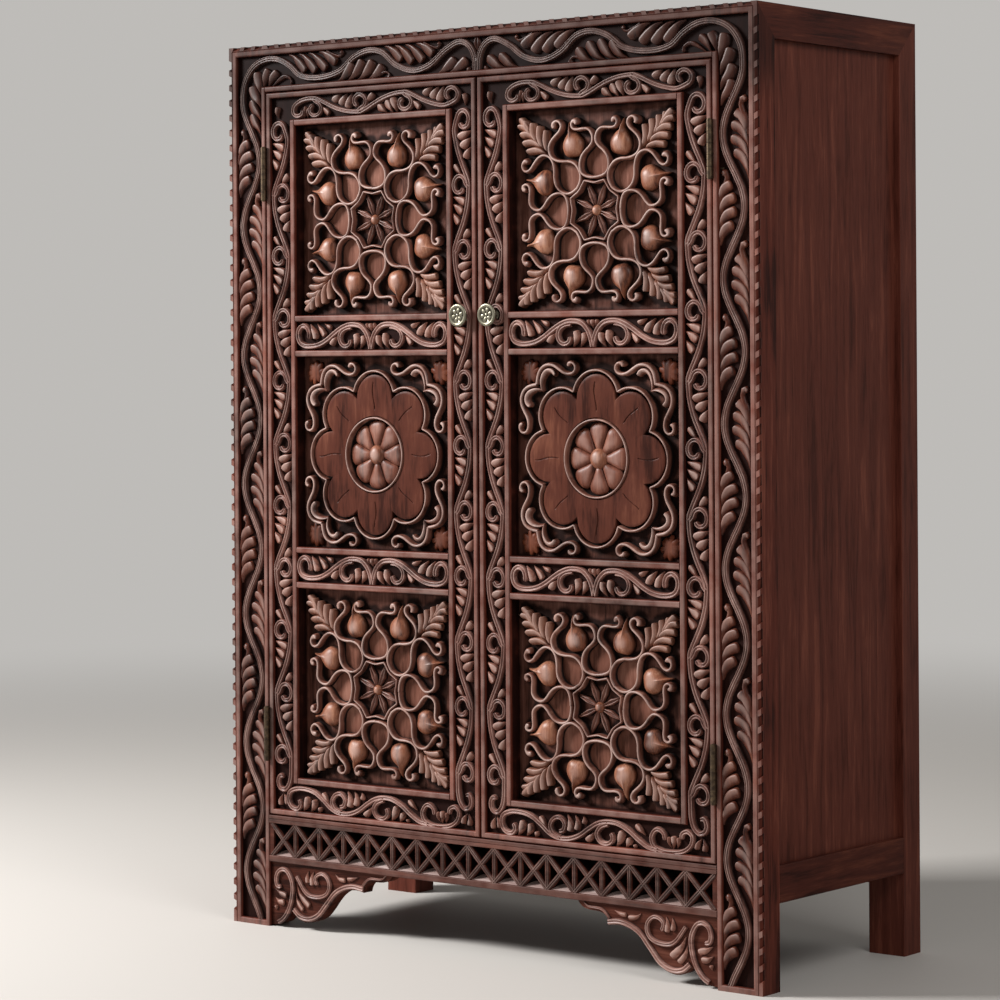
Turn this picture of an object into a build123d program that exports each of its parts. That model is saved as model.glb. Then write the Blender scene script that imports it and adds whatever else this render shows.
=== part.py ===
from build123d import *
import math
import os

# A two-door cabinet of carved hardwood, in millimetres. X runs across the front, Y from the front
# to the rear and Z up. Each piece is made with the front face of the posts at Y = 0, and write_pieces
# then centres the whole over the origin, which is on the floor.

# Overall sizes
width = 1020.0
depth = 425.0
height = 1400.0

# Posts
post_width = 78.0
post_depth = 45.0
rear_post_width = 62.0
rear_post_depth = 47.0

# Front rails of the carcass
front_rail_thickness = 28.0
front_rail_height = 75.0
lattice_rail_thickness = 32.0
lattice_rail_height = 74.0
lattice_rail_above_floor = 103.0

# Side frames
side_rail_thickness = 28.0
side_top_rail_height = 50.0
side_bottom_rail_height = 53.0
side_bottom_rail_lift = 1.0
side_panel_recess = 10.0
side_panel_thickness = 8.0

# Back frame
back_rail_thickness = 24.0
back_rail_inset = 4.0
back_top_rail_height = 75.0
back_bottom_rail_height = 75.0
back_muntin_width = 70.0
back_panel_thickness = 8.0

# Boards
top_board_thickness = 16.0
shelf_thickness = 18.0
cleat_width = 20.0
cleat_height = 24.0
door_stop_depth = 12.0
door_stop_height = 30.0

# Doors
door_thickness = 34.0
hinge_stile_width = 60.5
meeting_stile_width = 58.5
door_top_rail_height = 54.5
door_middle_rail_height = 65.0
door_bottom_rail_height = 61.5
door_panel_thickness = 7.0
door_panel_ground = 22.0
panel_relief = 10.0
door_gap = 1.5
meeting_gap = 3.0
stop_gap = 0.8

# Carved borders
bead_width = 9.0
door_bead_width = 10.0
bead_radius = 3.0
field_depth = 8.5
strip_width = 7.0
strip_line = 1.4
chip_pitch = 24.0
chip_width = 13.0
chip_depth = 4.2
chip_slant = 32.0

# Lattice
lattice_bays = 17
lattice_bar_width = 8.0
lattice_top_bead = 13.0
lattice_low_bead = 10.0
lattice_end_border = 4.0
lattice_setback = 2.0
lattice_pocket_depth = 20.0
lattice_pocket_taper = 9.0

# Brackets
bracket_length = 252.0
bracket_height = 100.0
bracket_thickness = 20.0
bracket_setback = 6.0
bracket_tongue = 8.0
bracket_tongue_inset = 12.0
bracket_tongue_margin = 16.0

# Joints between boards
tenon_thickness = 8.0
tenon_length = 30.0
tenon_shoulder = 9.0
tenon_front_wall = 13.0
groove_depth = 8.0
joint_gap = 0.2
panel_gap = 1.0
edge_ease = 0.8

# Hinges
hinge_length = 84.0
hinge_inset = 88.0
hinge_leaf_width = 24.0
hinge_leaf_thickness = 1.8
knuckle_radius = 4.5
knuckle_gap = 0.4
pin_radius = 2.2
pin_running_gap = 0.05
pin_proud = 5.0
pin_head_radius = 3.4
pin_head_height = 1.6
screw_radius = 1.7
screw_head_radius = 3.2
screw_length = 16.0

# Knobs and catches
knob_radius = 17.5
knob_rim = 2.6
knob_dish = 1.6
knob_plate = 3.6
knob_neck_radius = 6.0
knob_base_radius = 9.0
knob_base_height = 3.0
knob_projection = 14.0
knob_boss_radius = 4.5
knob_above_rail = 28.0
knob_inset = 26.5
knob_bolt_radius = 2.0
knob_bolt_head_radius = 4.0
knob_bolt_head_height = 2.4
knob_bolt_reach = 9.0
catch_width = 40.0
catch_height = 14.0
catch_depth = 14.0
catch_distance = 90.0
catch_gap = 0.3
strike_thickness = 1.2
strike_height = 13.0

# Places worked out from the sizes above
half_width = width / 2
half_opening = half_width - post_width
door_floor = lattice_rail_above_floor + lattice_rail_height
door_ceiling = height - front_rail_height
door_low = door_floor + door_gap
door_high = door_ceiling - door_gap
door_inner = meeting_gap / 2
door_outer = half_opening - door_gap
rear_post_front = depth - rear_post_depth
rear_post_inner = half_width - rear_post_width
side_rail_inner = half_width - side_rail_thickness
side_bottom_rail_top = door_floor + side_bottom_rail_lift
side_bottom_rail_low = side_bottom_rail_top - side_bottom_rail_height
side_top_rail_low = height - side_top_rail_height
side_panel_outer = half_width - side_panel_recess
side_panel_inner = side_panel_outer - side_panel_thickness
back_rail_rear = depth - back_rail_inset
back_rail_front = back_rail_rear - back_rail_thickness
back_panel_front = back_rail_front + (back_rail_thickness - back_panel_thickness) / 2
back_bottom_rail_low = door_floor - back_bottom_rail_height
back_top_rail_low = height - back_top_rail_height
panel_opening_low = door_low + door_bottom_rail_height
panel_opening_high = door_high - door_top_rail_height
panel_height = (panel_opening_high - panel_opening_low - 2 * door_middle_rail_height) / 3
panel_left = door_inner + meeting_stile_width
panel_right = door_outer - hinge_stile_width
panel_pitch = panel_height + door_middle_rail_height
shelf_front = door_thickness + stop_gap + door_stop_depth
pin_x = half_opening - door_gap / 2
lower_hinge = door_floor + hinge_inset + hinge_length / 2
upper_hinge = door_ceiling - hinge_inset - hinge_length / 2
knob_x = knob_inset + door_inner
knob_z = panel_opening_high - panel_height - door_middle_rail_height / 2 + knob_above_rail
stop_front = door_thickness + stop_gap
stop_low = door_ceiling - door_stop_height
front_shift = (knob_projection - depth) / 2

from_base = (Align.CENTER, Align.CENTER, Align.MIN)

pieces = {}


def block(x, y, z):
    """A box between the (low, high) pairs x, y and z, given in either order."""
    spans = [sorted(pair) for pair in (x, y, z)]
    centre = [(low + high) / 2 for low, high in spans]
    size = [high - low for low, high in spans]
    return Pos(*centre) * Box(*size)


def mortise(x, y, z):
    """The block of a tenon, grown by the joint's clearance on every side."""
    return block(*[(min(pair) - joint_gap, max(pair) + joint_gap) for pair in (x, y, z)])


def mirrored(solid):
    return mirror(solid, about=Plane.YZ)


def both_sides(name, solid):
    """Keep a right-hand piece and its left-hand twin."""
    pieces[name + "_right"] = solid
    pieces[name + "_left"] = mirrored(solid)


def eased(solid, axis):
    """Take the sharpness off the four edges along an axis."""
    return chamfer(solid.edges().filter_by(axis), edge_ease)


def front_edges(solid, keep):
    """The straight edges on the front face that the rule keep accepts."""
    found = []
    for edge in solid.edges():
        start, end = edge.position_at(0), edge.position_at(1)
        if abs(start.Y) < 0.001 and abs(end.Y) < 0.001 and keep(edge, start, end):
            found.append(edge)
    return found


def rod_along_y(radius, x, z, front, rear):
    """A round bar from the front to the rear, standing on the point x, z."""
    return Pos(x, (front + rear) / 2, z) * Rot(90, 0, 0) * Cylinder(radius, rear - front)


def chip_row(count, middle, turned=(0, 0, 0)):
    """Slanted cuts in a row across a corner edge; middle gives the place of each along the edge."""
    tall = 6 * chip_depth
    cut = Pos(0, 0, tall / 2 - chip_depth) * Box(chip_width, tall, tall)
    cut = Rot(*turned) * Rot(45, 0, 0) * Rot(0, 0, chip_slant) * cut
    return [middle(chip_pitch * (index - (count - 1) / 2)) * cut for index in range(count)]


def top_chips():
    """The cuts along the top edge of the front, from corner to corner."""
    return chip_row(int(width / chip_pitch), lambda along: Pos(along, 0, height))


def post_chips():
    """The cuts down the outer front edge of the right post."""
    count = int((height - chip_pitch) / chip_pitch)
    return chip_row(count, lambda along: Pos(half_width, 0, height / 2 + along), (0, 90, 0))


def sunk_line(length):
    """A thin sunk line along X, made by a square bar on edge."""
    return Rot(45, 0, 0) * Box(length, strip_line, strip_line)


# Joints

def rail_tenon(start, thick, low, high):
    """The (low, high) pairs of a right-hand tenon that runs along X from start."""
    return (start, start + tenon_length), thick, (low, high)


def front_tenon_thick():
    return tenon_front_wall, tenon_front_wall + tenon_thickness


def front_rail_tenon():
    low = door_ceiling + tenon_shoulder
    high = height - top_board_thickness - tenon_shoulder
    return rail_tenon(half_opening, front_tenon_thick(), low, high)


def lattice_rail_tenon():
    low = lattice_rail_above_floor + tenon_shoulder
    return rail_tenon(half_opening, front_tenon_thick(), low, door_floor - tenon_shoulder)


def side_bottom_tenon(post_face, inward):
    """The tenon of the side bottom rail in the post whose face is at post_face."""
    middle = (side_rail_inner + half_width) / 2
    across = (middle - tenon_thickness / 2, middle + tenon_thickness / 2)
    along = (post_face, post_face + inward * tenon_length)
    return across, along, (side_bottom_rail_low + tenon_shoulder, side_bottom_rail_top - tenon_shoulder)


def back_tenon_thick():
    return back_panel_front, back_panel_front + back_panel_thickness


def back_bottom_tenon():
    low = back_bottom_rail_low + tenon_shoulder
    return rail_tenon(rear_post_inner, back_tenon_thick(), low, door_floor - 2 * tenon_shoulder)


def back_top_tenon():
    low = back_top_rail_low + 2 * tenon_shoulder
    return rail_tenon(rear_post_inner, back_tenon_thick(), low, height - tenon_shoulder)


def bracket_tongue_spans(gap):
    along = (half_opening - gap, half_opening + bracket_tongue + gap)
    thick = (bracket_tongue_inset - gap, bracket_tongue_inset + tenon_thickness + gap)
    low = lattice_rail_above_floor - bracket_height + bracket_tongue_margin
    return along, thick, (low - gap, lattice_rail_above_floor - bracket_tongue_margin + gap)


def side_panel_slot(along, up):
    """A groove for the edge of a side panel."""
    return block((side_panel_inner - joint_gap, side_panel_outer + joint_gap), along, up)


def back_panel_slot(across, up):
    thick = (back_panel_front - joint_gap, back_panel_front + back_panel_thickness + joint_gap)
    return block(across, thick, up)


def side_panel_reach():
    """How far the grooves for the side panels run up the posts."""
    return side_bottom_rail_top - groove_depth, side_top_rail_low + groove_depth


def back_panel_reach():
    return door_floor - groove_depth, back_top_rail_low + groove_depth


def side_rail_mitre(corner, post_face):
    """The outer half of the side top rail over a post, cut at a slant from corner to post_face."""
    middle = (side_rail_inner + half_width) / 2
    points = [(middle, corner, height), (middle, post_face, side_top_rail_low), (middle, post_face, height)]
    return extrude(make_face(Polyline(*points, close=True)), half_width - middle, (1, 0, 0))


def side_rail_lap(corner, post_face, gap):
    """The inner half of the side top rail, which laps square into the post."""
    inward = 1 if post_face > corner else -1
    start = corner + inward * (tenon_front_wall - gap)
    across = (side_rail_inner - gap, (side_rail_inner + half_width) / 2)
    return block(across, (start, post_face), (side_top_rail_low - gap, height))


def board_with_corners(gap, front, rear, side, low, high):
    """A board that passes between the four posts and fills out to the sides behind them."""
    up = (low, high)
    board = block((-side, side), (post_depth + gap, rear_post_front - gap), up)
    board += block((gap - half_opening, half_opening - gap), (front, post_depth + gap), up)
    board += block((gap - rear_post_inner, rear_post_inner - gap), (rear_post_front - gap, rear), up)
    return board


def top_board(gap):
    """The top board, or with no gap the seat that it fills in the rails."""
    front = front_rail_thickness - groove_depth + gap
    rear = back_rail_front + groove_depth - gap
    side = side_rail_inner + groove_depth - gap
    return board_with_corners(gap, front, rear, side, height - top_board_thickness, height)


# Carcass

def front_post():
    """The right front post: a sunk field between beads, and the joints of all that it carries."""
    field_right = half_width - strip_width - bead_width
    field_top = height - strip_width - bead_width
    field_x = (half_opening + bead_width, field_right)
    post = block((half_opening, half_width), (0, post_depth), (0, height))
    post = chamfer(post.edges().filter_by(Axis.Z).sort_by(Axis.Y)[-2:], edge_ease)
    post -= block(field_x, (-1, field_depth), (bead_width, field_top))
    rail_field = (door_ceiling + bead_width, field_top)
    post -= block((half_opening - 1, field_right), (-1, field_depth), rail_field)

    def rounded(edge, start, end):
        if abs(start.Z - end.Z) < 0.001:
            return 0.001 < start.Z < height - 0.001
        return start.X < half_width - 0.001 and edge.length > 3 * bead_width

    post = fillet(front_edges(post, rounded), bead_radius)
    line_x = half_width - strip_width
    line_z = height - strip_width
    post -= Pos(line_x, 0, line_z / 2) * Rot(0, 90, 0) * sunk_line(line_z)
    post -= Pos((half_opening + line_x) / 2, 0, line_z) * sunk_line(line_x - half_opening)
    post -= post_chips() + top_chips()
    post -= mortise(*front_rail_tenon())
    post -= mortise(*lattice_rail_tenon())
    post -= mortise(*side_bottom_tenon(post_depth, -1))
    post -= block(*bracket_tongue_spans(joint_gap))
    post -= side_panel_slot((post_depth - groove_depth, post_depth + 1), side_panel_reach())
    post -= side_rail_lap(0, post_depth, joint_gap)
    post -= side_rail_mitre(0, post_depth)
    post -= frame_leaf_seats()
    return post - frame_screws()


def rear_post():
    post = eased(block((rear_post_inner, half_width), (rear_post_front, depth), (0, height)), Axis.Z)
    post -= mortise(*side_bottom_tenon(rear_post_front, 1))
    post -= mortise(*back_bottom_tenon())
    post -= mortise(*back_top_tenon())
    post -= side_panel_slot((rear_post_front - 1, rear_post_front + groove_depth), side_panel_reach())
    post -= back_panel_slot((rear_post_inner - 1, rear_post_inner + groove_depth), back_panel_reach())
    post -= side_rail_lap(depth, rear_post_front, joint_gap)
    return post - side_rail_mitre(depth, rear_post_front)


def with_end_tenons(rail, spans):
    """A rail with the same tenon at its right and left ends."""
    tenon = block(*spans)
    return rail + tenon + mirrored(tenon)


def front_top_rail():
    rail = block((-half_opening, half_opening), (0, front_rail_thickness), (door_ceiling, height))
    field = (door_ceiling + bead_width, height - strip_width - bead_width)
    rail -= block((-width, width), (-1, field_depth), field)
    long_edges = front_edges(rail, lambda edge, start, end: edge.length > half_width and start.Z < height - 1)
    rail = fillet(long_edges, bead_radius)
    rail -= Pos(0, 0, height - strip_width) * sunk_line(width)
    rail -= top_chips()
    rail -= top_board(0)
    return with_end_tenons(rail, front_rail_tenon())


def lattice_field():
    return lattice_rail_above_floor + lattice_low_bead, door_floor - lattice_top_bead


def lattice_pocket(points):
    """One tapered chip pocket from its three corners, in X and Z."""
    outline = make_face(Polyline(*[(x, lattice_setback, z) for x, z in points], close=True))
    return extrude(outline, lattice_pocket_depth, (0, 1, 0), taper=lattice_pocket_taper)


def lattice_bay(bay):
    """The four pockets round one crossing; bay is its width, and X = 0 its left side."""
    low, high = lattice_field()
    tall = high - low
    half_bar = lattice_bar_width / 2
    angle = math.atan2(tall, bay)
    reach_x = half_bar / math.sin(angle)
    reach_z = half_bar / math.cos(angle)
    rise = half_bar * tall / bay + reach_z
    middle_x, middle_z = bay / 2, low + tall / 2
    left = [(half_bar, low + rise), (middle_x - reach_x, middle_z), (half_bar, high - rise)]
    right = [(bay - x, z) for x, z in left]
    lower = [(reach_x, low), (bay - reach_x, low), (middle_x, middle_z - reach_z)]
    upper = [(x, low + high - z) for x, z in lower]
    return [lattice_pocket(points) for points in (left, right, lower, upper)]


def lattice_rail():
    low, high = lattice_field()
    thick = (0, lattice_rail_thickness)
    rail = block((-half_opening, half_opening), thick, (lattice_rail_above_floor, door_floor))
    rail -= block((-width, width), (-1, lattice_setback), (low, high))
    rail = fillet(front_edges(rail, lambda edge, start, end: edge.length > half_width), bead_radius / 2)
    rail -= Pos(0, 0, (high + door_floor) / 2) * sunk_line(width)
    run = 2 * (half_opening - lattice_end_border)
    bay = run / lattice_bays
    pockets = lattice_bay(bay)
    rail -= [Pos(index * bay - run / 2, 0, 0) * pocket for index in range(lattice_bays) for pocket in pockets]
    seat = (lattice_rail_thickness - groove_depth, lattice_rail_thickness + 1)
    rail -= block((-width, width), seat, (door_floor - shelf_thickness, door_floor + 1))
    return with_end_tenons(rail, lattice_rail_tenon())


def bracket():
    """The right bracket: three curves from its tip to the post, set back behind the beads."""
    top = lattice_rail_above_floor

    def at(inward, down):
        """A point, from shares of the bracket's length and height."""
        return half_opening - inward * bracket_length, bracket_setback, top - down * bracket_height

    cusp = at(0.77, 0.32)
    notch = at(0.175, 0.75)
    tip = Spline(at(1, 0), at(0.93, 0.12), at(0.82, 0.15), cusp)
    swell = Spline(cusp, at(0.68, 0.30), at(0.57, 0.395), at(0.49, 0.60), at(0.41, 0.81), at(0.32, 0.9), notch)
    foot = Spline(notch, at(0.12, 0.92), at(0, 1))
    up = Line(at(0, 1), at(0, 0))
    back = Line(at(0, 0), at(1, 0))
    outline = make_face([tip, swell, foot, up, back])
    solid = extrude(outline, bracket_thickness, (0, 1, 0))
    return solid + block(*bracket_tongue_spans(0))


def side_top_rail():
    up = (side_top_rail_low, height)
    rail = block((side_rail_inner, half_width), (post_depth, rear_post_front), up)
    for corner, post_face in ((0, post_depth), (depth, rear_post_front)):
        rail += side_rail_lap(corner, post_face, 0)
        rail += side_rail_mitre(corner, post_face)
    rail -= top_chips()
    rail -= top_board(0)
    along = (post_depth - groove_depth, rear_post_front + groove_depth)
    return rail - side_panel_slot(along, (side_top_rail_low - 1, side_top_rail_low + groove_depth))


def side_bottom_rail():
    up = (side_bottom_rail_low, side_bottom_rail_top)
    rail = eased(block((side_rail_inner, half_width), (post_depth, rear_post_front), up), Axis.Y)
    slot = (side_bottom_rail_top - groove_depth, side_bottom_rail_top + 1)
    rail -= side_panel_slot((0, depth), slot)
    rail += block(*side_bottom_tenon(post_depth, -1))
    return rail + block(*side_bottom_tenon(rear_post_front, 1))


def side_panel():
    reach = groove_depth - panel_gap
    along = (post_depth - reach, rear_post_front + reach)
    up = (side_bottom_rail_top - reach, side_top_rail_low + reach)
    return block((side_panel_inner, side_panel_outer), along, up)


def muntin_tenon(low, high):
    half = back_muntin_width / 2 - tenon_shoulder
    return (-half, half), back_tenon_thick(), (low, high)


def muntin_tenons():
    low = muntin_tenon(door_floor - tenon_length, door_floor)
    high = muntin_tenon(back_top_rail_low, back_top_rail_low + tenon_length)
    return low, high


def back_top_rail():
    thick = (back_rail_front, back_rail_rear)
    rail = block((-rear_post_inner, rear_post_inner), thick, (back_top_rail_low, height))
    rail -= top_board(0)
    rail -= back_panel_slot((-width, width), (back_top_rail_low - 1, back_top_rail_low + groove_depth))
    rail -= mortise(*muntin_tenons()[1])
    return with_end_tenons(rail, back_top_tenon())


def back_bottom_rail():
    thick = (back_rail_front, back_rail_rear)
    rail = block((-rear_post_inner, rear_post_inner), thick, (back_bottom_rail_low, door_floor))
    rail -= back_panel_slot((-width, width), (door_floor - groove_depth, door_floor + 1))
    rail -= mortise(*muntin_tenons()[0])
    return with_end_tenons(rail, back_bottom_tenon())


def back_muntin():
    half = back_muntin_width / 2
    thick = (back_rail_front, back_rail_rear)
    muntin = eased(block((-half, half), thick, (door_floor, back_top_rail_low)), Axis.Z)
    for side in (-1, 1):
        muntin -= back_panel_slot((side * (half - groove_depth), side * (half + 1)), (0, height))
    low, high = muntin_tenons()
    return muntin + block(*low) + block(*high)


def back_panel():
    reach = groove_depth - panel_gap
    across = (back_muntin_width / 2 - reach, rear_post_inner + reach)
    return block(across, back_tenon_thick(), (door_floor - reach, back_top_rail_low + reach))


def bottom_board():
    front = lattice_rail_thickness - groove_depth + joint_gap
    side = side_rail_inner - joint_gap
    low = door_floor - shelf_thickness
    return board_with_corners(joint_gap, front, back_rail_front - joint_gap, side, low, door_floor)


def shelf_middle(count):
    """The height of the middle of the door rail that stands before a shelf."""
    return panel_opening_low + count * panel_pitch - door_middle_rail_height / 2


def shelf(middle):
    up = (middle - shelf_thickness / 2, middle + shelf_thickness / 2)
    side = side_panel_inner - panel_gap
    board = block((-side, side), (shelf_front, rear_post_front - joint_gap), up)
    inner = rear_post_inner - joint_gap
    return board + block((-inner, inner), (shelf_front, back_rail_front - panel_gap), up)


def shelf_cleats():
    """The cleats under the bottom board and the shelves, between the posts on both sides."""
    places = [(side_rail_inner, door_floor - shelf_thickness)]
    places += [(side_panel_inner, shelf_middle(count) - shelf_thickness / 2) for count in (1, 2)]
    along = (post_depth + joint_gap, rear_post_front - joint_gap)
    cleats = []
    for outer, top in places:
        cleat = eased(block((outer - cleat_width, outer), along, (top - cleat_height, top)), Axis.Y)
        cleats += [cleat, mirrored(cleat)]
    return Compound(children=cleats)


def door_stop():
    """The strip behind the front top rail that both doors close against."""
    across = (joint_gap - half_opening, half_opening - joint_gap)
    stop = block(across, (stop_front, shelf_front), (stop_low, door_ceiling))
    glued = (door_ceiling, door_ceiling + door_stop_depth)
    return stop + block(across, (front_rail_thickness, shelf_front), glued)


# Hinges

def hinge_centres():
    return lower_hinge, upper_hinge


def knuckle_spans(centre, own):
    """The heights of the knuckles: 0, 2 and 4 are on the frame leaf, 1 and 3 on the door leaf."""
    knuckle = hinge_length / 5
    low = centre - hinge_length / 2
    return [(low + index * knuckle, low + (index + 1) * knuckle - knuckle_gap) for index in own]


def upright(radius, low, high):
    """A round bar on the hinge axis."""
    return Pos(pin_x, -pin_proud, (low + high) / 2) * Cylinder(radius, high - low)


def hinge_leaf(centre, near, far, own, bore):
    """A leaf let in to an edge between the depths near and far, with its knuckles on the axis."""
    up = (centre - hinge_length / 2, centre + hinge_length / 2 - knuckle_gap)
    leaf = block((near, far), (0, hinge_leaf_width), up)
    for low, high in knuckle_spans(centre, own):
        leaf += block((near, far), (-pin_proud, 1), (low, high)) + upright(knuckle_radius, low, high)
    return leaf - upright(bore, up[0] - 1, up[1] + 1)


def frame_leaf(centre):
    near, far = half_opening, half_opening + hinge_leaf_thickness
    return hinge_leaf(centre, near, far, (0, 2, 4), pin_radius) - frame_screws()


def door_leaf(centre):
    near, far = door_outer, door_outer - hinge_leaf_thickness
    return hinge_leaf(centre, near, far, (1, 3), pin_radius + pin_running_gap) - door_screws()


def leaf_seats(near, far):
    """The housings of both leaves in the edge of a post or stile."""
    half = hinge_length / 2 + joint_gap
    seats = [block((near, far), (-1, hinge_leaf_width + joint_gap), (centre - half, centre + half))
             for centre in hinge_centres()]
    return seats


def frame_leaf_seats():
    return leaf_seats(half_opening - 1, half_opening + hinge_leaf_thickness)


def door_leaf_seats():
    return leaf_seats(door_outer + 1, door_outer - hinge_leaf_thickness)


def hinge_pin(centre):
    low, high = centre - hinge_length / 2, centre + hinge_length / 2 - knuckle_gap
    pin = upright(pin_radius, low - 0.5, high + 0.5)
    pin += upright(pin_head_radius, low - pin_head_height, low)
    return pin + upright(pin_head_radius, high, high + pin_head_height)


def screws(surface, inward):
    """Countersunk screws through both leaves of one side, three to a leaf and staggered."""
    head_length = screw_head_radius - screw_radius
    found = []
    for centre in hinge_centres():
        for step in (-1, 0, 1):
            head = Cone(screw_head_radius, screw_radius, head_length, align=from_base)
            shank = Cylinder(screw_radius, screw_length, align=from_base)
            driver = Box(2 * screw_head_radius, screw_radius / 2, screw_radius)
            across = hinge_leaf_width * (0.5 + 0.12 * (-1) ** step)
            place = Pos(surface, across, centre + step * hinge_length / 3)
            found.append(place * Rot(0, 90 * inward, 0) * (head + shank - driver))
    return found


def frame_screws():
    return screws(half_opening, 1)


def door_screws():
    return screws(door_outer, -1)


# Doors

def stile(edge, inward, stile_width):
    """A door stile from its free edge inwards, with its carved field open to the end rails."""
    def across(start, end):
        return edge + inward * start, edge + inward * end

    inner = stile_width - door_bead_width
    field_z = (door_low + bead_width, door_high - bead_width)
    board = block(across(0, stile_width), (0, door_thickness), (door_low, door_high))
    board -= block(across(bead_width, inner), (-1, field_depth), field_z)
    board -= block(across(bead_width, stile_width + 1), (-1, field_depth), top_rail_field())
    board -= block(across(bead_width, stile_width + 1), (-1, field_depth), bottom_rail_field())
    level = lambda start, end: abs(start.Z - end.Z) < 0.001
    rounded = front_edges(board, lambda edge, start, end: level(start, end) or edge.length > 3 * bead_width)
    board = fillet(rounded, bead_radius)
    slot = (panel_opening_low - groove_depth, panel_opening_high + groove_depth)
    board -= door_panel_slot(across(stile_width - groove_depth, stile_width + 1), slot)
    for low, high in door_rail_heights():
        reach = across(stile_width, stile_width - tenon_length)
        board -= mortise(reach, front_tenon_thick(), rail_tenon_heights(low, high))
    return board


def top_rail_field():
    return panel_opening_high + door_bead_width, door_high - bead_width


def bottom_rail_field():
    return door_low + bead_width, panel_opening_low - door_bead_width


def rail_tenon_heights(low, high):
    return low + tenon_shoulder, high - tenon_shoulder


def door_rail_heights():
    """The heights of the four rails of a door, from the bottom up."""
    heights = [(door_low, panel_opening_low)]
    for count in (1, 2):
        middle = shelf_middle(count)
        heights.append((middle - door_middle_rail_height / 2, middle + door_middle_rail_height / 2))
    return heights + [(panel_opening_high, door_high)]


def door_panel_slot(across, up):
    thick = (door_panel_ground - joint_gap, door_panel_ground + door_panel_thickness + joint_gap)
    return block(across, thick, up)


def door_rail(low, high, low_bead, high_bead):
    """A door rail with a carved field between its beads, and grooves where a panel meets it."""
    rail = block((panel_left, panel_right), (0, door_thickness), (low, high))
    rail -= block((0, width), (-1, field_depth), (low + low_bead, high - high_bead))
    rounded = front_edges(rail, lambda edge, start, end: abs(start.Z - end.Z) < 0.001)
    rail = fillet(rounded, bead_radius)
    if low > door_low:
        rail -= door_panel_slot((0, width), (low - 1, low + groove_depth))
    if high < door_high:
        rail -= door_panel_slot((0, width), (high - groove_depth, high + 1))
    up = rail_tenon_heights(low, high)
    rail += block((panel_left - tenon_length, panel_left), front_tenon_thick(), up)
    return rail + block((panel_right, panel_right + tenon_length), front_tenon_thick(), up)


def hinge_stile():
    board = stile(door_outer, -1, hinge_stile_width)
    return board - door_leaf_seats() - door_screws()


def meeting_stile():
    board = stile(door_inner, 1, meeting_stile_width)
    return board - rod_along_y(knob_bolt_radius + joint_gap, knob_x, knob_z, 0, door_thickness + 1)


# Door panels

def panel_unit():
    """The scale of the carved figures: they fill the panel, whose half is 150 units."""
    return min(panel_right - panel_left, panel_height) / 300


def raised_disc(radius, top_radius, tall, x, z):
    """A low round form that stands on the panel's ground and narrows towards the front."""
    unit = panel_unit()
    disc = Cone(radius * unit, top_radius * unit, tall, align=from_base)
    return Pos(x * unit, 0, z * unit) * Rot(90, 0, 0) * disc


def raised_ring(outer, inner, tall, x, z):
    ring = raised_disc(outer, outer - 2, tall, x, z)
    return ring - raised_disc(inner - 2, inner, tall, x, z)


def raised_shape(points, tall):
    """A flat form with tapered sides, from its corners in panel units."""
    unit = panel_unit()
    outline = make_face(Polyline(*[(x * unit, 0, z * unit) for x, z in points], close=True))
    return extrude(outline, tall, (0, -1, 0), taper=15)


def turned(angle, shape):
    return Rot(0, angle, 0) * shape


def star_figure():
    """A star of petals in a ring of eight loops, with eight buds and a leaf in each corner."""
    petal = raised_shape([(0, 10), (8, 30), (0, 47), (-8, 30)], 0.6 * panel_relief)
    near_loop = raised_ring(28, 22, 0.8 * panel_relief, 0, 72)
    bud = raised_disc(17, 10, panel_relief, 48, 98)
    bud_tip = raised_shape([(36, 108), (60, 108), (48, 133)], 0.8 * panel_relief)
    leaf = [(82, 82), (84, 116), (104, 134), (138, 138), (134, 104), (116, 84)]
    leaf = raised_shape(leaf, 0.8 * panel_relief)
    forms = [raised_disc(9, 7, panel_relief, 0, 0)]
    for eighth in range(8):
        forms.append(turned(45 * eighth + 22.5, petal))
        forms.append(turned(45 * eighth, near_loop))
    for quarter in range(4):
        forms.append(turned(90 * quarter, bud + bud_tip))
        forms.append(turned(90 * quarter, mirrored(bud + bud_tip)))
        forms.append(turned(90 * quarter, leaf))
    return forms


def rosette_figure():
    """A disc with eight round lobes, a ring and a flower at its middle, and a leaf in each corner."""
    lobe = raised_disc(40, 36, 0.8 * panel_relief, 0, 92)
    petal = raised_shape([(0, 14), (16, 34), (0, 50), (-16, 34)], 0.9 * panel_relief)
    leaf = raised_shape([(108, 108), (112, 138), (142, 142), (138, 112)], 0.7 * panel_relief)
    forms = [raised_disc(96, 92, 0.7 * panel_relief, 0, 0), raised_ring(62, 54, 0.9 * panel_relief, 0, 0)]
    forms.append(raised_disc(15, 11, panel_relief, 0, 0))
    for eighth in range(8):
        forms.append(turned(45 * eighth, lobe))
        forms.append(turned(45 * eighth, petal))
    for quarter in range(4):
        forms.append(turned(90 * quarter, leaf))
    return forms


def door_panel(figure, count):
    """The panel that is count places up from the bottom, with its carved figure on its ground."""
    reach = groove_depth - panel_gap
    low = panel_opening_low + count * panel_pitch
    thick = (door_panel_ground, door_panel_ground + door_panel_thickness)
    board = block((panel_left - reach, panel_right + reach), thick, (low - reach, low + panel_height + reach))
    place = Pos((panel_left + panel_right) / 2, door_panel_ground, low + panel_height / 2)
    return board + [place * form for form in figure]


# Knobs and catches

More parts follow.
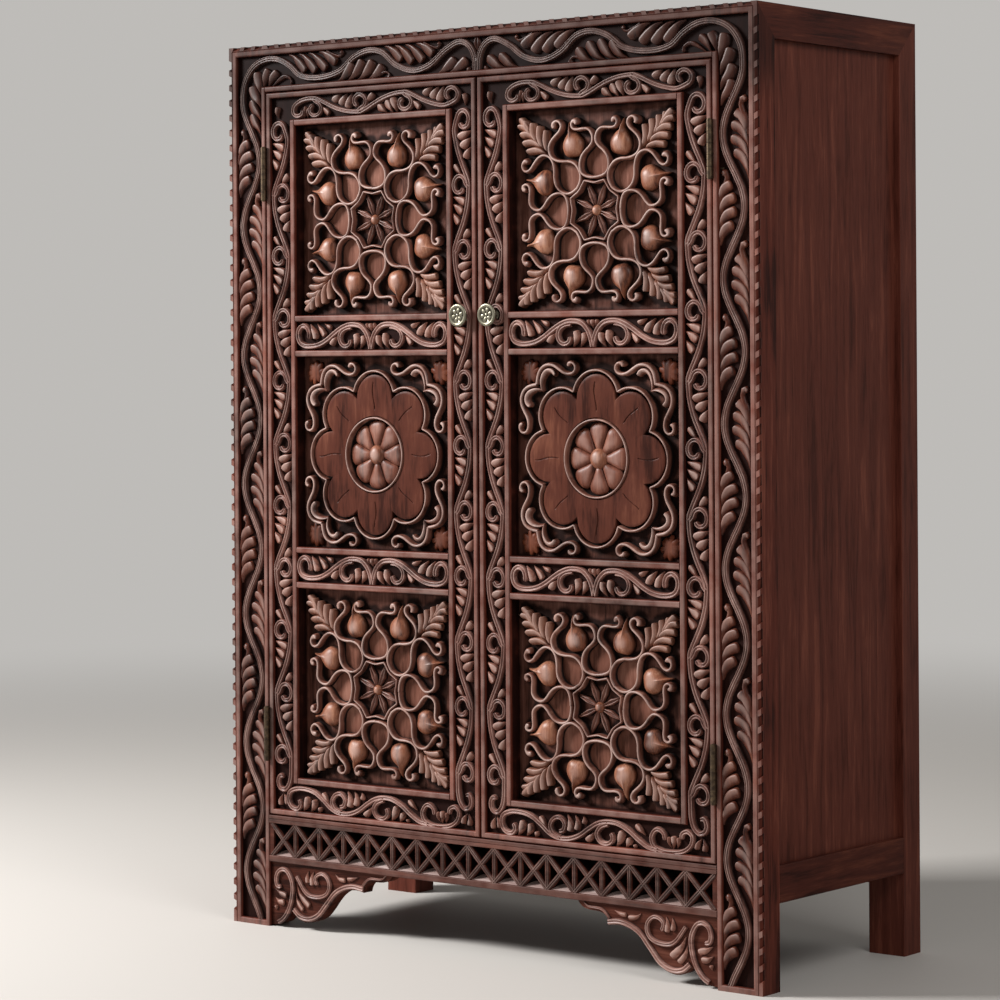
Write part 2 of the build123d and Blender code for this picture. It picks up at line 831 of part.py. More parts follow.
def knob():
    """A flat round knob with a raised rim and a boss, on a neck that stands on the stile's ground."""
    face = knob_plate - knob_projection
    ground = field_depth
    shape = rod_along_y(knob_base_radius, 0, 0, ground - knob_base_height, ground)
    shape += rod_along_y(knob_neck_radius, 0, 0, face, ground)
    plate = rod_along_y(knob_radius, 0, 0, -knob_projection, face)
    plate = fillet(plate.edges(), knob_plate / 3)
    plate -= rod_along_y(knob_radius - knob_rim, 0, 0, -knob_projection - 1, knob_dish - knob_projection)
    shape += plate
    shape += rod_along_y(knob_boss_radius, 0, 0, -knob_projection, face)
    shape = Pos(knob_x, 0, knob_z) * shape
    return shape - knob_bolt()


def knob_bolt():
    bolt = rod_along_y(knob_bolt_radius, knob_x, knob_z, field_depth - knob_bolt_reach, door_thickness)
    head = (door_thickness, door_thickness + knob_bolt_head_height)
    return bolt + rod_along_y(knob_bolt_head_radius, knob_x, knob_z, *head)


def catch_span():
    return door_inner + catch_distance, door_inner + catch_distance + catch_width


def catch_magnet():
    front = door_thickness + strike_thickness + catch_gap
    return block(catch_span(), (front, front + catch_depth), (stop_low - catch_height, stop_low))


def strike_plate():
    high = stop_low - catch_gap
    thick = (door_thickness, door_thickness + strike_thickness)
    return block(catch_span(), thick, (high - strike_height, high))


def group(solids):
    return Compound(children=list(solids))


def make_carcass():
    both_sides("front_post", front_post())
    both_sides("rear_post", rear_post())
    both_sides("bracket", bracket())
    both_sides("side_top_rail", side_top_rail())
    both_sides("side_bottom_rail", side_bottom_rail())
    both_sides("side_panel", side_panel())
    both_sides("back_panel", back_panel())
    both_sides("hinge_frame_leaves", group(frame_leaf(centre) for centre in hinge_centres()))
    pieces["front_top_rail"] = front_top_rail()
    pieces["lattice_rail"] = lattice_rail()
    pieces["back_top_rail"] = back_top_rail()
    pieces["back_bottom_rail"] = back_bottom_rail()
    pieces["back_muntin"] = back_muntin()
    pieces["top_board"] = top_board(joint_gap)
    pieces["bottom_board"] = bottom_board()
    pieces["lower_shelf"] = shelf(shelf_middle(1))
    pieces["upper_shelf"] = shelf(shelf_middle(2))
    pieces["shelf_cleats"] = shelf_cleats()
    pieces["door_stop"] = door_stop()
    pins = [hinge_pin(centre) for centre in hinge_centres()]
    pieces["hinge_pins"] = group(pins + [mirrored(pin) for pin in pins])
    pieces["catch_magnets"] = group([catch_magnet(), mirrored(catch_magnet())])
    pieces["hinge_frame_screws"] = group(frame_screws() + [mirrored(screw) for screw in frame_screws()])


def make_doors():
    rails = door_rail_heights()
    right = {
        "hinge_stile": hinge_stile(),
        "meeting_stile": meeting_stile(),
        "bottom_rail": door_rail(*rails[0], bead_width, door_bead_width),
        "lower_rail": door_rail(*rails[1], door_bead_width, door_bead_width),
        "upper_rail": door_rail(*rails[2], door_bead_width, door_bead_width),
        "top_rail": door_rail(*rails[3], door_bead_width, bead_width),
        "bottom_panel": door_panel(star_figure(), 0),
        "middle_panel": door_panel(rosette_figure(), 1),
        "top_panel": door_panel(star_figure(), 2),
        "hinge_leaves": group(door_leaf(centre) for centre in hinge_centres()),
        "hinge_screws": group(door_screws()),
        "knob": knob(),
        "knob_bolt": knob_bolt(),
        "strike_plate": strike_plate(),
    }
    for name, solid in right.items():
        pieces["right_door_" + name] = solid
        pieces["left_door_" + name] = mirrored(solid)


def write_pieces():
    os.makedirs("parts", exist_ok=True)
    for name, solid in pieces.items():
        export_step(Pos(0, front_shift, 0) * solid, os.path.join("parts", name + ".step"))
    print(len(pieces), "pieces written")


make_carcass()
make_doors()
write_pieces()
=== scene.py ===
# %% [markdown]
# # A carved two-door cabinet
# The joinery is already made: posts, rails, doors and hinges come in as a fixed frame, with flat sunk
# fields where the carver worked. This lesson adds what the carver and the finisher did: the running vine,
# the scrolls, the six door panels, the knobs, and the colour of old dark wood, into which shade and
# highlights are painted.

# %% Load the frame
import math

import bmesh
import bpy
import numpy as np
from mathutils import Matrix, Vector


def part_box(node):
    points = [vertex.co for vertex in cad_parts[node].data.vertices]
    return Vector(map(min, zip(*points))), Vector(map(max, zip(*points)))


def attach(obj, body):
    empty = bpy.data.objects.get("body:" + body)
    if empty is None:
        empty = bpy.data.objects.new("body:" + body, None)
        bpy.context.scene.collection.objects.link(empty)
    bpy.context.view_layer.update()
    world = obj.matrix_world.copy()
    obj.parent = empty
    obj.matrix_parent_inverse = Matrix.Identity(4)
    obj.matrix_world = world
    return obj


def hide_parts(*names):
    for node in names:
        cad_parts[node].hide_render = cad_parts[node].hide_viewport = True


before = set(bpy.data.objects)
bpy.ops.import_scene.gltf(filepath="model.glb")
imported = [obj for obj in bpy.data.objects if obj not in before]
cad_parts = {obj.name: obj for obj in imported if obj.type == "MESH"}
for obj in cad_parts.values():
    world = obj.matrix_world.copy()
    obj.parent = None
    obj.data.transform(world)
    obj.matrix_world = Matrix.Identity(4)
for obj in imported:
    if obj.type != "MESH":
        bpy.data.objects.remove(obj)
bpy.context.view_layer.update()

print("the frame has", len(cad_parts), "pieces")

# %% [markdown]
# ## Measure the boards
# Every carved part lies on a board, so its place is read from that board. Drawings are in
# millimetres: x to the right of the middle, z up from the floor, and depth back from the front face.

# %% Sizes from the frame
MM = 0.001
post_low, post_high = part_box("front_post_right")
front_y = post_low.y
half_width = post_high.x / MM
height = post_high.z / MM
post_inner = post_low.x / MM
FIELD_DEPTH = 8.5
print("front", half_width * 2, "x", height, "mm, posts from", post_inner)


def span(node):
    """The left, right, bottom and top of a board, in mm."""
    low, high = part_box(node)
    return low.x / MM, high.x / MM, low.z / MM, high.z / MM


# %% [markdown]
# ## Small helpers for node trees
# A tree built in a script is easier to read when a sum is one call. `calc` adds a Math node and
# links or sets its inputs, and works the same in a shader tree and in a geometry tree. The other
# helpers do the same for the nodes that come back in almost every tree.

# %% Node helpers
def add_node(tree, kind, **settings):
    """Add a node and set its properties."""
    made = tree.nodes.new(kind)
    for name, value in settings.items():
        setattr(made, name, value)
    return made


def feed(tree, socket, value):
    """Link a socket to another one, or set it to a value."""
    if isinstance(value, bpy.types.NodeSocket):
        tree.links.new(value, socket)
    else:
        socket.default_value = value


def calc(tree, operation, *values, clamp=False):
    """Add a Math node and give back its result."""
    made = add_node(tree, "ShaderNodeMath", operation=operation, use_clamp=clamp)
    for socket, value in zip(made.inputs, values):
        feed(tree, socket, value)
    return made.outputs[0]


def split_xyz(tree, vector):
    """The X, Y and Z outputs of a vector."""
    made = add_node(tree, "ShaderNodeSeparateXYZ")
    feed(tree, made.inputs[0], vector)
    return made.outputs


def new_tree(name, kind, inputs, outputs):
    """Start a node group with named sockets, each given as (name, type, default)."""
    tree = bpy.data.node_groups.new(name, kind)
    for in_out, sockets in (("INPUT", inputs), ("OUTPUT", outputs)):
        for title, form, default in sockets:
            made = tree.interface.new_socket(title, in_out=in_out, socket_type="NodeSocket" + form)
            if default is not None:
                made.default_value = default
    source = add_node(tree, "NodeGroupInput")
    target = add_node(tree, "NodeGroupOutput")
    return tree, source.outputs, target.inputs


print("node helpers ready")

# %% [markdown]
# ## One tree that carves a stroke
# Almost all the ornament is made of strokes: a stem, a scroll, a comma leaf. Each could be modelled by
# hand, but they share one rule. A flat ribbon follows the line, as wide as the line's radius, and is then
# raised: round or flat on top, plain or with grooves. So one Geometry Nodes tree makes them all from a
# curve drawn in a plane. It also writes how high each point lies, as `rise`, which the finish uses later to
# paint shade into the low places and wear with a painted highlight onto the high ones.

# %% Numbers stored on points
def store(tree, geometry, name, value):
    """Store a number on every point of a geometry under a name."""
    made = add_node(tree, "GeometryNodeStoreNamedAttribute", data_type="FLOAT", domain="POINT")
    feed(tree, made.inputs["Geometry"], geometry)
    made.inputs["Name"].default_value = name
    feed(tree, made.inputs["Value"], value)
    return made.outputs["Geometry"]


def stored(tree, name):
    """Read a stored number back."""
    made = add_node(tree, "GeometryNodeInputNamedAttribute", data_type="FLOAT")
    made.inputs["Name"].default_value = name
    return made.outputs[0]


def hand_out(tree, geometry, material, target):
    """End a tree: copies made real, one material on the mesh, and the result at the output."""
    real = add_node(tree, "GeometryNodeRealizeInstances")
    feed(tree, real.inputs["Geometry"], geometry)
    paint = add_node(tree, "GeometryNodeSetMaterial")
    feed(tree, paint.inputs["Geometry"], real.outputs[0])
    feed(tree, paint.inputs["Material"], material)
    feed(tree, target, paint.outputs[0])


# %% The carved stroke tree
WELD = 0.00002
PLAIN_RIM = 0.9


def flat_ring(tree, count):
    """A closed line that runs from -1 to 1, with each point's place on it stored as 'across'."""
    line = add_node(tree, "GeometryNodeMeshLine", mode="END_POINTS", count_mode="TOTAL")
    feed(tree, line.inputs["Count"], count)
    line.inputs["Start Location"].default_value = (-1, 0, 0)
    line.inputs["Offset"].default_value = (1, 0, 0)
    profile = add_node(tree, "GeometryNodeMeshToCurve")
    feed(tree, profile.inputs["Mesh"], line.outputs["Mesh"])
    ring = add_node(tree, "GeometryNodeSetSplineCyclic")
    feed(tree, ring.inputs["Geometry"], profile.outputs["Curve"])
    ring.inputs["Cyclic"].default_value = True
    place = add_node(tree, "GeometryNodeInputPosition").outputs[0]
    return store(tree, ring.outputs[0], "across", split_xyz(tree, place)["X"])


def ridge_share(tree, given):
    """How high each point stands, from 0 to about 1: round across, grooved, leaning, low where thin."""
    across = stored(tree, "across")
    edge = calc(tree, "POWER", calc(tree, "ABSOLUTE", across), given["Flatness"])
    crown = calc(tree, "SQRT", calc(tree, "MAXIMUM", calc(tree, "SUBTRACT", 1.0, edge), 0.0))
    turns = calc(tree, "MULTIPLY", calc(tree, "ADD", given["Grooves"], 1.0), math.pi)
    wave = calc(tree, "COSINE", calc(tree, "MULTIPLY", calc(tree, "ADD", across, 1.0), turns))
    dip = calc(tree, "MULTIPLY", calc(tree, "MULTIPLY_ADD", wave, 0.5, 0.5), given["Groove Depth"])
    inside = calc(tree, "LESS_THAN", calc(tree, "ABSOLUTE", across), PLAIN_RIM)
    grooved = calc(tree, "SUBTRACT", 1.0, calc(tree, "MULTIPLY", dip, inside))
    tilt = calc(tree, "MULTIPLY_ADD", given["Lean"], across, 1.0)
    shape = calc(tree, "MULTIPLY", calc(tree, "MULTIPLY", crown, grooved), tilt)
    width_share = calc(tree, "DIVIDE", stored(tree, "reach"), given["Full Half Width"])
    return calc(tree, "MULTIPLY", shape, calc(tree, "SQRT", calc(tree, "MINIMUM", width_share, 1.0)))


def make_stroke_tree():
    """Ribbon along a curve, raised into a carved ridge with a closed flat back."""
    tree, given, out = new_tree("Carved stroke", "GeometryNodeTree", (
        ("Geometry", "Geometry", None),
        ("Height", "Float", 0.0075),
        ("Full Half Width", "Float", 0.005),
        ("Grooves", "Float", 1.0),
        ("Groove Depth", "Float", 0.3),
        ("Flatness", "Float", 3.0),
        ("Lean", "Float", 0.0),
        ("Points", "Int", 9),
        ("Material", "Material", None),
    ), (("Geometry", "Geometry", None),))
    level = add_node(tree, "GeometryNodeSetCurveNormal", mode="Z_UP")
    feed(tree, level.inputs["Curve"], given["Geometry"])
    radius = add_node(tree, "GeometryNodeInputRadius").outputs[0]
    sweep = add_node(tree, "GeometryNodeCurveToMesh")
    feed(tree, sweep.inputs["Curve"], store(tree, level.outputs[0], "reach", radius))
    feed(tree, sweep.inputs["Profile Curve"], flat_ring(tree, given["Points"]))
    feed(tree, sweep.inputs["Scale"], radius)
    sweep.inputs["Fill Caps"].default_value = True
    rise = ridge_share(tree, given)
    lift = add_node(tree, "ShaderNodeCombineXYZ")
    feed(tree, lift.inputs["Z"], calc(tree, "MULTIPLY", rise, given["Height"]))
    raised = add_node(tree, "GeometryNodeSetPosition")
    feed(tree, raised.inputs["Geometry"], store(tree, sweep.outputs[0], "rise", rise))
    feed(tree, raised.inputs["Offset"], lift.outputs[0])
    weld = add_node(tree, "GeometryNodeMergeByDistance")
    feed(tree, weld.inputs["Geometry"], raised.outputs[0])
    weld.inputs["Distance"].default_value = WELD
    hand_out(tree, weld.outputs[0], given["Material"], out["Geometry"])
    return tree


stroke_tree = make_stroke_tree()
print("made the tree", stroke_tree.name, "with", len(stroke_tree.nodes), "nodes")


# %% Run a tree and keep the mesh
STAND = Matrix.Rotation(math.radians(90), 4, "X")
MERGE = 0.00001
TOO_SHORT = 0.000005
FACING_BACK = 0.5


def run_tree(obj, tree, values):
    """Run a node tree on an object, keep the result as a plain upright mesh and delete the source."""
    modifier = obj.modifiers.new(tree.name, "NODES")
    modifier.node_group = tree
    for item in tree.interface.items_tree:
        if item.in_out == "INPUT" and item.name in values:
            modifier[item.identifier] = values[item.name]
    bpy.context.view_layer.update()
    graph = bpy.context.evaluated_depsgraph_get()
    mesh = bpy.data.meshes.new_from_object(obj.evaluated_get(graph), depsgraph=graph)
    obj.modifiers.remove(modifier)
    bpy.data.objects.remove(obj)
    mesh.transform(STAND)
    return mesh


def tidy_mesh(mesh):
    """Merge doubles, turn all faces outwards and shade them smooth, but not the flat backs."""
    work = bmesh.new()
    work.from_mesh(mesh)
    bmesh.ops.remove_doubles(work, verts=work.verts, dist=MERGE)
    bmesh.ops.dissolve_degenerate(work, edges=work.edges, dist=TOO_SHORT)
    bmesh.ops.recalc_face_normals(work, faces=work.faces)
    for face in work.faces:
        face.smooth = face.normal.y < FACING_BACK
    work.to_mesh(mesh)
    work.free()


def new_object(name, mesh):
    """Link a mesh as an object at the origin."""
    made = bpy.data.objects.new(name, mesh)
    bpy.context.scene.collection.objects.link(made)
    return made


def join_meshes(name, meshes):
    """Join meshes into one object, keeping their materials and attributes."""
    parts = [new_object(f"{name}_{number}", mesh) for number, mesh in enumerate(meshes)]
    chosen = {"selected_editable_objects": parts, "selected_objects": parts}
    with bpy.context.temp_override(active_object=parts[0], **chosen):
        bpy.ops.object.join()
    parts[0].name = name
    parts[0].data.name = name
    return parts[0]


print("a tree's result is turned upright and welded at", MERGE, "m")


# %% [markdown]
# ## Draw a stroke
# A stroke is a few points and a width. A smooth line is run through the points, and the width
# follows the line: a stem is even, a comma leaf swells to its round end, a curl ends in a ball.

# %% Smooth lines
STEP = 2.6
END_SHARES = (0.03, 0.12, 0.3, 0.6)
LEAST_STEP = 0.12


def smooth_line(points, closed=False):
    """Points closely spaced on a smooth line through the given ones."""
    given = np.array(points, float)
    if closed:
        given = np.vstack((given[-1:], given, given[:2]))
    else:
        given = np.vstack((2 * given[0] - given[1], given, 2 * given[-1] - given[-2]))
    line = [given[1]]
    for a, b, c, d in zip(given, given[1:], given[2:], given[3:]):
        gaps = [max(math.dist(u, v), 1e-6) for u, v in ((a, b), (b, c), (c, d))]
        knots = np.cumsum([0] + [gap ** 0.5 for gap in gaps])
        for t in np.linspace(knots[1], knots[2], 2 + int(math.dist(b, c)))[1:]:
            ab = ((knots[1] - t) * a + t * b) / knots[1]
            bc = ((knots[2] - t) * b + (t - knots[1]) * c) / (knots[2] - knots[1])
            cd = ((knots[3] - t) * c + (t - knots[2]) * d) / (knots[3] - knots[2])
            abc = ((knots[2] - t) * ab + t * bc) / knots[2]
            bcd = ((knots[3] - t) * bc + (t - knots[1]) * cd) / (knots[3] - knots[1])
            line.append(((knots[2] - t) * abc + (t - knots[1]) * bcd) / (knots[2] - knots[1]))
    return np.array(line)


def spaced(line, balls, blunt=0):
    """The same line with even spacing, closer at round ends, and the distance along it."""
    along = np.concatenate(([0], np.cumsum(np.linalg.norm(np.diff(line, axis=0), axis=1))))
    total = along[-1]
    stops = list(np.linspace(0, total, max(2, round(total / STEP)) + 1))
    for ball, flip in zip((balls[0], balls[1] or blunt), (False, True)):
        for share in END_SHARES if ball else ():
            stops.append(total - ball * share if flip else ball * share)
    stops = np.array(sorted(stops))
    stops = stops[np.concatenate(([True], np.diff(stops) > LEAST_STEP))]
    stops[-1] = total
    return np.stack([np.interp(stops, along, line[:, axis]) for axis in (0, 1)], axis=1), stops


print("a stroke has a point about every", STEP, "mm")


# %% Widths along a line
BLUNT_POWER = 2.6


def half_widths(stops, half, swell, balls, blunt=0):
    """Half the stroke's width at each stop: swell gives shares along it, and balls round its ends."""
    total = stops[-1]
    width = half * np.interp(stops / total, *zip(*swell))
    if blunt:
        past = 1 - np.minimum((total - stops) / blunt, 1)
        width *= (1 - past ** BLUNT_POWER) ** (1 / BLUNT_POWER)
    for distance, ball in ((stops, balls[0]), (total - stops, balls[1])):
        if ball:
            round_end = np.sqrt(np.clip(ball ** 2 - (distance - ball) ** 2, 0, None))
            width = np.where(distance < ball, round_end, np.maximum(width, round_end))
    return width


EVEN = ((0, 1), (1, 1))
COMMA = ((0, 0.12), (0.3, 0.5), (0.6, 0.96), (1, 1))
FEATHER = ((0, 0.2), (0.3, 0.72), (0.6, 1), (1, 0.98))
TENDRIL = ((0, 1), (0.6, 0.9), (1, 0.62))
SLIVER = ((0, 0.35), (0.5, 1), (1, 0.5))
print("a comma leaf is widest at its blunt end:", [share for along, share in COMMA])


# %% A drawing and its carving
HIGH_SIDE = (-0.5, 0.86)
BLUNT_SHARE = 0.4
BACK_INTO_GROUND = 0.3


def lean_of(line):
    """1 or -1: which side of a leaf is the high one. The carver's leaves all rise to the upper left."""
    run = line[len(line) * 2 // 3] - line[len(line) // 3]
    return 1 if run[1] * HIGH_SIDE[0] - run[0] * HIGH_SIDE[1] > 0 else -1


class Drawing:
    """The strokes of one piece, each a line in mm with its half widths, ground, closing and lean."""

    def __init__(self):
        self.strokes = []

    def add(self, points, width, swell=EVEN, balls=(0, 0), place=None, ground=FIELD_DEPTH,
            closed=False, blunt=0):
        """Draw one stroke. Place turns the drawing's own coordinates into x and z on the front."""
        if place:
            points = [place(*point) for point in points]
        line = smooth_line(points, closed)
        if closed:
            line, stops = spaced(line, (0, 0))
            self.strokes.append((line[:-1], np.full(len(line) - 1, width / 2), ground, True, 1))
            return
        line, stops = spaced(line, balls, blunt)
        widths = half_widths(stops, width / 2, swell, balls, blunt)
        self.strokes.append((line, widths, ground, False, lean_of(line)))

    def comma(self, points, width, place=None, ground=FIELD_DEPTH, swell=COMMA):
        """A leaf that swells from a thin foot to a blunt end."""
        self.add(points, width, swell, (0, 0), place, ground, blunt=width * BLUNT_SHARE)

    def curl(self, points, width, ball, place=None, ground=FIELD_DEPTH, swell=TENDRIL):
        """A stem that thins towards a ball at its end."""
        self.add(points, width, swell, (0, ball), place, ground)


def carve_strokes(strokes, values):
    """The carved mesh of some strokes."""
    curve = bpy.data.curves.new("strokes", "CURVE")
    curve.dimensions = "3D"
    for line, widths, ground, closed, side in strokes:
        spline = curve.splines.new("POLY")
        spline.points.add(len(line) - 1)
        level = -front_y - (ground + BACK_INTO_GROUND) * MM
        for point, (x, z), width in zip(spline.points, line, widths):
            point.co = (x * MM, z * MM, level, 1)
            point.radius = width * MM
        spline.use_cyclic_u = closed
    mesh = run_tree(new_object("strokes", curve), stroke_tree, values)
    tidy_mesh(mesh)
    return mesh


def carve(drawing, style, material):
    """Run the stroke tree on a drawing, once for each way of leaning, and give back the meshes."""
    values = {**style, "Material": material}
    lean = style.get("Lean", 0)
    if not lean:
        return [carve_strokes(drawing.strokes, values)]
    meshes = []
    for side in (1, -1):
        group = [stroke for stroke in drawing.strokes if stroke[4] == side]
        if group:
            meshes.append(carve_strokes(group, {**values, "Lean": lean * side}))
    return meshes


print("a stroke's back lies", BACK_INTO_GROUND, "mm inside its board")

# %% [markdown]
# ## Colours of old wood
# The finish has four layers. The grain is stretched noise along the board. Shade is painted into the low
# places. The high edges are painted paler, for wear and for highlight, and painted shade darkens the top of
# the cabinet. All woods share the same node groups and differ only in their colours and amounts, so the
# whole cabinet is shaded alike.

# %% Colours, noise and ramps
def tint(red, green, blue):
    """A colour as the eye reads it, from 0 to 255, for a shader."""
    shares = [value / 255 for value in (red, green, blue)]
    return tuple(v / 12.92 if v <= 0.04045 else ((v + 0.055) / 1.055) ** 2.4 for v in shares) + (1.0,)


def mix_colour(tree, share, first, second):
    """Mix two colours by a share and give back the result."""
    made = add_node(tree, "ShaderNodeMix", data_type="RGBA")
    feed(tree, made.inputs["Factor"], share)
    feed(tree, made.inputs[6], first)
    feed(tree, made.inputs[7], second)
    return made.outputs[2]


def ramp(tree, value, start, full, kind="SMOOTHSTEP"):
    """A share that is 0 where the value is at its start and 1 where it is full."""
    made = add_node(tree, "ShaderNodeMapRange", interpolation_type=kind)
    feed(tree, made.inputs["Value"], value)
    feed(tree, made.inputs["From Min"], start)
    feed(tree, made.inputs["From Max"], full)
    return made.outputs[0]


def noise(tree, where, scale, detail=2.0, **settings):
    """Noise over some coordinates, from 0 to 1."""
    made = add_node(tree, "ShaderNodeTexNoise")
    feed(tree, made.inputs["Vector"], where)
    for name, value in {"Scale": scale, "Detail": detail, **settings}.items():
        made.inputs[name].default_value = value
    return made.outputs["Fac"]


# The shade colour printed here is painted into the hollows, where shade falls.
print("the darkest dirt is", [round(value, 4) for value in tint(15, 6, 5)[:3]], "to a shader")


# %% The grain
def make_grain_group():
    """Colour and height of straight-grained wood on object coordinates."""
    tree, given, out = new_tree("Wood grain", "ShaderNodeTree", (
        ("Stretch", "Vector", (60.0, 60.0, 4.0)),
        ("Dark", "Color", tint(52, 26, 20)),
        ("Middle", "Color", tint(98, 52, 38)),
        ("Light", "Color", tint(140, 82, 58)),
        ("Blotch", "Float", 0.5),
    ), (("Color", "Color", None), ("Height", "Float", None)))
    spot = add_node(tree, "ShaderNodeTexCoord").outputs["Object"]
    stretched = add_node(tree, "ShaderNodeVectorMath", operation="MULTIPLY")
    feed(tree, stretched.inputs[0], spot)
    feed(tree, stretched.inputs[1], given["Stretch"])
    bands = noise(tree, stretched.outputs[0], 1.0, 5.0, Roughness=0.6, Distortion=0.6)
    pores = noise(tree, stretched.outputs[0], 9.0)
    cloud = noise(tree, spot, 7.0, 3.0)
    drift = calc(tree, "MULTIPLY", calc(tree, "SUBTRACT", cloud, 0.5), given["Blotch"])
    mixed = calc(tree, "ADD", bands, drift)
    fine = calc(tree, "MULTIPLY_ADD", calc(tree, "SUBTRACT", pores, 0.5), 0.3, mixed)
    first = mix_colour(tree, ramp(tree, fine, 0.28, 0.52), given["Dark"], given["Middle"])
    second = mix_colour(tree, ramp(tree, fine, 0.5, 0.78), first, given["Light"])
    feed(tree, out["Color"], second)
    feed(tree, out["Height"], fine)
    return tree


grain_group = make_grain_group()
print(grain_group.name, "has", len(grain_group.nodes), "nodes")

# %% [markdown]
# ## Painted shade, wear and highlight
# Shade is painted where the surface is low, and wear with a painted highlight where it is high, so both
# follow one number, the rise. A noise makes their borders uneven. Only what faces forward gets the wear and
# highlight, and a painted shade near the top goes by the height above the floor. On plain boards nothing
# stores a rise, so a third group works it out from the depth below the front face, and leaves the sides,
# the top and the backs unshaded.

# %% Painted shade, wear and highlight
# From this height up to the next, in mm, the top of the cabinet gets painted shade.
TOP_SHADE_FROM = 1235.0
TOP_SHADE_FULL = 1325.0


def make_shading_group():
    """Painted shade in the low places, wear with a painted highlight on the high edges, and painted shade
    near the top.
    """
    tree, given, out = new_tree("Painted Shade and wear", "ShaderNodeTree", (
        ("Color", "Color", None),
        ("Rise", "Float", 1.0),
        # The shade colour is painted into hollows where shade falls; the worn colour is wear together with
        # a painted highlight.
        ("Painted Shade", "Color", tint(15, 6, 5)),
        ("Worn Highlight", "Color", tint(196, 168, 158)),
        ("Painted Shade Amount", "Float", 0.9),
        ("Worn Highlight Amount", "Float", 0.4),
        ("Top Shade Amount", "Float", 0.0),
    ), (("Color", "Color", None), ("Roughness", "Float", None)))
    spot = add_node(tree, "ShaderNodeTexCoord").outputs
    border_noise = noise(tree, spot["Object"], 38.0, 4.0)
    uneven = calc(tree, "MULTIPLY", calc(tree, "SUBTRACT", border_noise, 0.5), 0.7)
    # Low places get the shade colour: painted shade where shade falls in hollows and recesses.
    deep = ramp(tree, calc(tree, "ADD", given["Rise"], uneven), 0.55, 0.1)
    shading = calc(tree, "MULTIPLY", deep, given["Painted Shade Amount"], clamp=True)
    # High, forward-facing places get paler: wear together with a painted highlight.
    top = ramp(tree, calc(tree, "MULTIPLY_ADD", uneven, 0.6, given["Rise"]), 0.8, 1.15)
    front = calc(tree, "MULTIPLY", split_xyz(tree, spot["Normal"])["Y"], -1.0)
    wear_sheen_mask = calc(tree, "MULTIPLY", top, ramp(tree, front, 0.3, 0.95))
    wear_sheen = calc(tree, "MULTIPLY", wear_sheen_mask, given["Worn Highlight Amount"], clamp=True)
    # The top of the cabinet is painted darker, as shade.
    level = split_xyz(tree, spot["Object"])["Z"]
    top_shade_ramp = ramp(tree, level, TOP_SHADE_FROM * MM, TOP_SHADE_FULL * MM)
    top_shade_share = calc(tree, "MULTIPLY", top_shade_ramp, given["Top Shade Amount"])
    pale = mix_colour(tree, wear_sheen, given["Color"], given["Worn Highlight"])
    top_shaded = mix_colour(tree, top_shade_share, pale, given["Painted Shade"])
    feed(tree, out["Color"], mix_colour(tree, shading, top_shaded, given["Painted Shade"]))
    sheen = calc(tree, "MULTIPLY_ADD", uneven, 0.25, 0.4)
    feed(tree, out["Roughness"], calc(tree, "MULTIPLY_ADD", shading, 0.3, sheen))
    return tree


shading_group = make_shading_group()
print(shading_group.name, "has", len(shading_group.nodes), "nodes")

# %% The rise of a plain board
SKIN = 0.3


def make_depth_group():
    """Rise of a plain board, for its painted shade: 1 on its face, 0 on its sunk field, and 1 on its other
    sides.
    """
    tree, given, out = new_tree("Rise from depth", "ShaderNodeTree", (
        ("Shallow", "Float", 0.0005),
        ("Deep", "Float", 0.006),
    ), (("Rise", "Float", None),))
    spot = add_node(tree, "ShaderNodeTexCoord").outputs
    where = split_xyz(tree, spot["Object"])
    facing = split_xyz(tree, spot["Normal"])
    depth = calc(tree, "SUBTRACT", where["Y"], front_y)
    level = ramp(tree, depth, given["Deep"], given["Shallow"], "LINEAR")
    ahead = ramp(tree, calc(tree, "MULTIPLY", facing["Y"], -1.0), 0.3, 0.6)
    # The walls of a sunk field get almost the full painted shade, as they lie in shade.
    share = calc(tree, "MULTIPLY_ADD", ahead, 0.12, 0.88)
    lost = calc(tree, "MULTIPLY", calc(tree, "SUBTRACT", 1.0, level), share)
    side = calc(tree, "GREATER_THAN", calc(tree, "ABSOLUTE", where["X"]), (half_width - SKIN) * MM)
    top = calc(tree, "GREATER_THAN", where["Z"], (height - SKIN) * MM)
    behind = calc(tree, "GREATER_THAN", facing["Y"], 0.5)
    unshaded = calc(tree, "MAXIMUM", behind, calc(tree, "MAXIMUM", side, top))
    feed(tree, out["Rise"], calc(tree, "MAXIMUM", calc(tree, "SUBTRACT", 1.0, lost), unshaded))
    return tree


depth_group = make_depth_group()
print(depth_group.name, "has", len(depth_group.nodes), "nodes")

# %% A wood
UPRIGHT = (70.0, 70.0, 4.5)
LEVEL = (4.5, 70.0, 70.0)
ENDWISE = (70.0, 4.5, 70.0)
WIDE_GRAIN = (34.0, 34.0, 5.0)
# How strong the painted shade near the top of the cabinet is.
TOP_SHADE = 0.6
DULL = 0.06


def start_material(name):
    """A new material with its node tree and its Principled shader."""
    material = bpy.data.materials.new(name)
    material.use_nodes = True
    return material, material.node_tree, material.node_tree.nodes["Principled BSDF"]


def add_bump(tree, shader, height_socket, distance, strength=1.0):
    """Let a height disturb the surface by a small distance."""
    bump = add_node(tree, "ShaderNodeBump")
    bump.inputs["Strength"].default_value = strength
    bump.inputs["Distance"].default_value = distance
    feed(tree, bump.inputs["Height"], height_socket)
    feed(tree, shader.inputs["Normal"], bump.outputs["Normal"])


